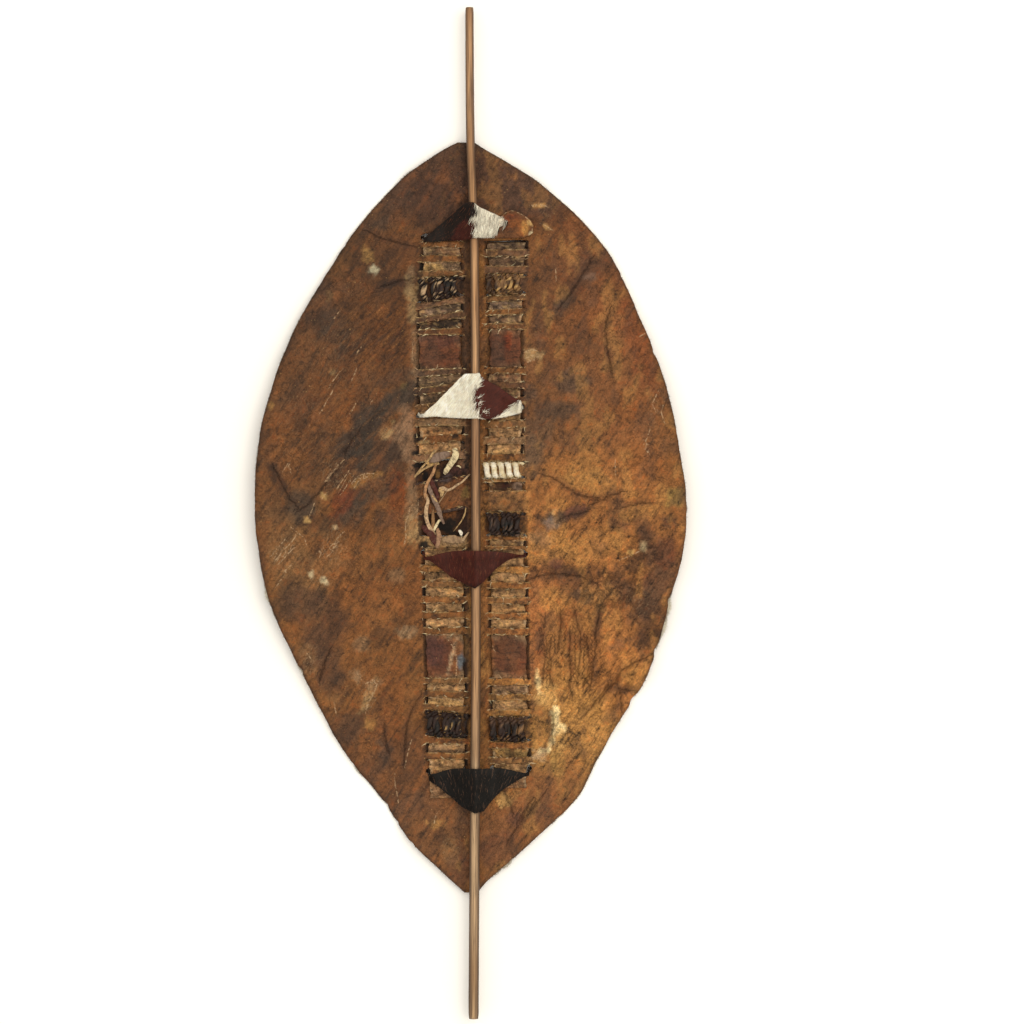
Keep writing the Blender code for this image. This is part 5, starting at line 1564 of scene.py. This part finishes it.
def makeFibres():
    rng = np.random.default_rng(21)
    roots, ways = [], []
    for column in columns:
        bars = [bar for bar in column["barList"] if bar[0] in "UB"]
        for number in rng.integers(0, len(bars), fibres["count"]):
            kind, top, bottom, lift = bars[number]
            y = (top if rng.random() < 0.5 else bottom) + rng.normal(0, 0.0004)
            outer, inner = float(side(column, "outer", y)), float(side(column, "inner", y))
            x = outer + (inner - outer) * rng.beta(0.6, 0.6)
            angle = rng.normal(0, fibres["turn"]) + math.pi * (rng.random() < 0.5)
            roots.append((x, y, 0.0))
            ways.append((math.cos(angle), math.sin(angle), rng.uniform(0.0, fibres["rise"])))
    roots, ways = np.array(roots), np.array(ways)
    roots[:, 2] = bandMiddle + liftOf(roots[:, 0], roots[:, 1]) + hide["thickness"] / 2 + 0.0002
    roots[:, 1] += slantOf(roots[:, 0], roots[:, 1])
    size = len(roots)
    chart = np.array([tone(each) for each in fibres["tones"]])
    colours = chart[rng.integers(0, len(chart), size)] * rng.uniform(0.6, 1.1, size)[:, None]
    up = np.tile((0.0, 0.0, 1.0), (size, 1))
    lengths, widths = rng.uniform(*fibres["length"], size), rng.uniform(*fibres["width"], size)
    made = blades(roots, ways, up, lengths, widths, colours, 0, 0.1, 0.4)
    piece("slitFibres", made[0], made[1], (hair,), "", made[2])


makeFibres()
print("fibres ready")

# hair that shows past the rim: place on the photo, reach, length in mm, how pale and how thick it stands
rimHair = {"count": 5200, "length": 0.0022, "width": 0.00013, "floor": 0.0016, "spread": 0.6}
tufts = (
    (264, 596, 10, 5.0, 0.9, 5), (268, 616, 8, 4.5, 0.8, 4), (299, 671, 6, 4.5, 0.8, 5),
    (292, 322, 16, 3.0, 0.3, 2), (278, 352, 10, 3.0, 0.3, 2), (665, 606, 12, 6.0, 1.0, 7),
    (660, 626, 12, 6.0, 1.0, 6), (656, 644, 6, 4.0, 0.6, 3), (508, 866, 9, 4.5, 0.7, 5),
    (498, 874, 8, 3.5, 0.5, 3), (560, 822, 8, 3.0, 0.3, 2), (357, 772, 6, 3.5, 0.6, 3),
    (406, 172, 8, 3.0, 0.3, 2), (258, 455, 10, 2.5, 0.3, 2), (684, 508, 5, 3.0, 0.5, 2),
)


def makeRimHair():
    rng = np.random.default_rng(11)
    rim = hideRim()
    xs, ys = rim[:, 0], rim[:, 1]
    lengths, pale, many = np.full(len(rim), rimHair["length"]), np.zeros(len(rim)), np.ones(len(rim))
    for px, py, reach, length, whiteness, count in tufts:
        cx, cy = at(px, py)
        near = np.exp(-((np.hypot(xs - cx, ys - cy) / (reach * pixel)) ** 2))
        lengths = np.maximum(lengths, near * length / 1000)
        pale, many = np.maximum(pale, near * whiteness), np.maximum(many, near * count * 4)
    picked = rng.choice(len(rim), rimHair["count"], p=many / many.sum())
    along = np.roll(rim, -1, axis=0)[picked] - rim[picked]
    along /= np.linalg.norm(along, axis=1, keepdims=True)
    out = np.column_stack((along[:, 1], -along[:, 0]))
    size = len(picked)
    roots = rim[picked] + along * rng.uniform(-0.0015, 0.0015, size)[:, None] - out * 0.0006
    below = hide["thickness"] * rng.uniform(0.1, 0.4, size)
    heights = np.maximum(rimHeight(roots[:, 0], roots[:, 1]) - below, rimHair["floor"])
    sweep = rng.normal(0, rimHair["spread"], size)
    ways = np.column_stack((out + along * sweep[:, None], rng.uniform(-0.35, 0.15, size)))
    ways /= np.linalg.norm(ways, axis=1, keepdims=True)
    colours = np.tile(tone("ash"), (size, 1))
    tint(colours, "bone", np.clip(pale[picked] * rng.uniform(0.5, 1.3, size), 0, 1))
    colours *= rng.uniform(0.6, 1.1, size)[:, None]
    up = np.tile((0.0, 0.0, 1.0), (size, 1))
    ways[:, 2] = np.maximum(ways[:, 2], (0.0008 - heights) / 0.008)
    made = blades(np.column_stack((roots, heights)), ways, up, lengths[picked] * rng.uniform(0.5, 1.3, size),
                  rimHair["width"] * rng.uniform(0.7, 1.4, size), colours, 0, 0.05, 0.25)
    piece("rimHair", made[0], made[1], (hair,), "", made[2])


makeRimHair()
print("rim hair ready")

# the pale floor under it
ground = bpy.data.meshes.new("floor")
half = floor["size"] / 2
corners = [(-half, -half, 0), (half, -half, 0), (half, half, 0), (-half, half, 0)]
ground.from_pydata(corners, [], [(0, 1, 2, 3)])
stage = bpy.data.objects.new("floor", ground)
bpy.context.scene.collection.objects.link(stage)
paper = Finish("paper", 0.9, 0.2)
paper.shader.inputs["Base Color"].default_value = (floor["tone"],) * 3 + (1.0,)
ground.materials.append(paper.material)
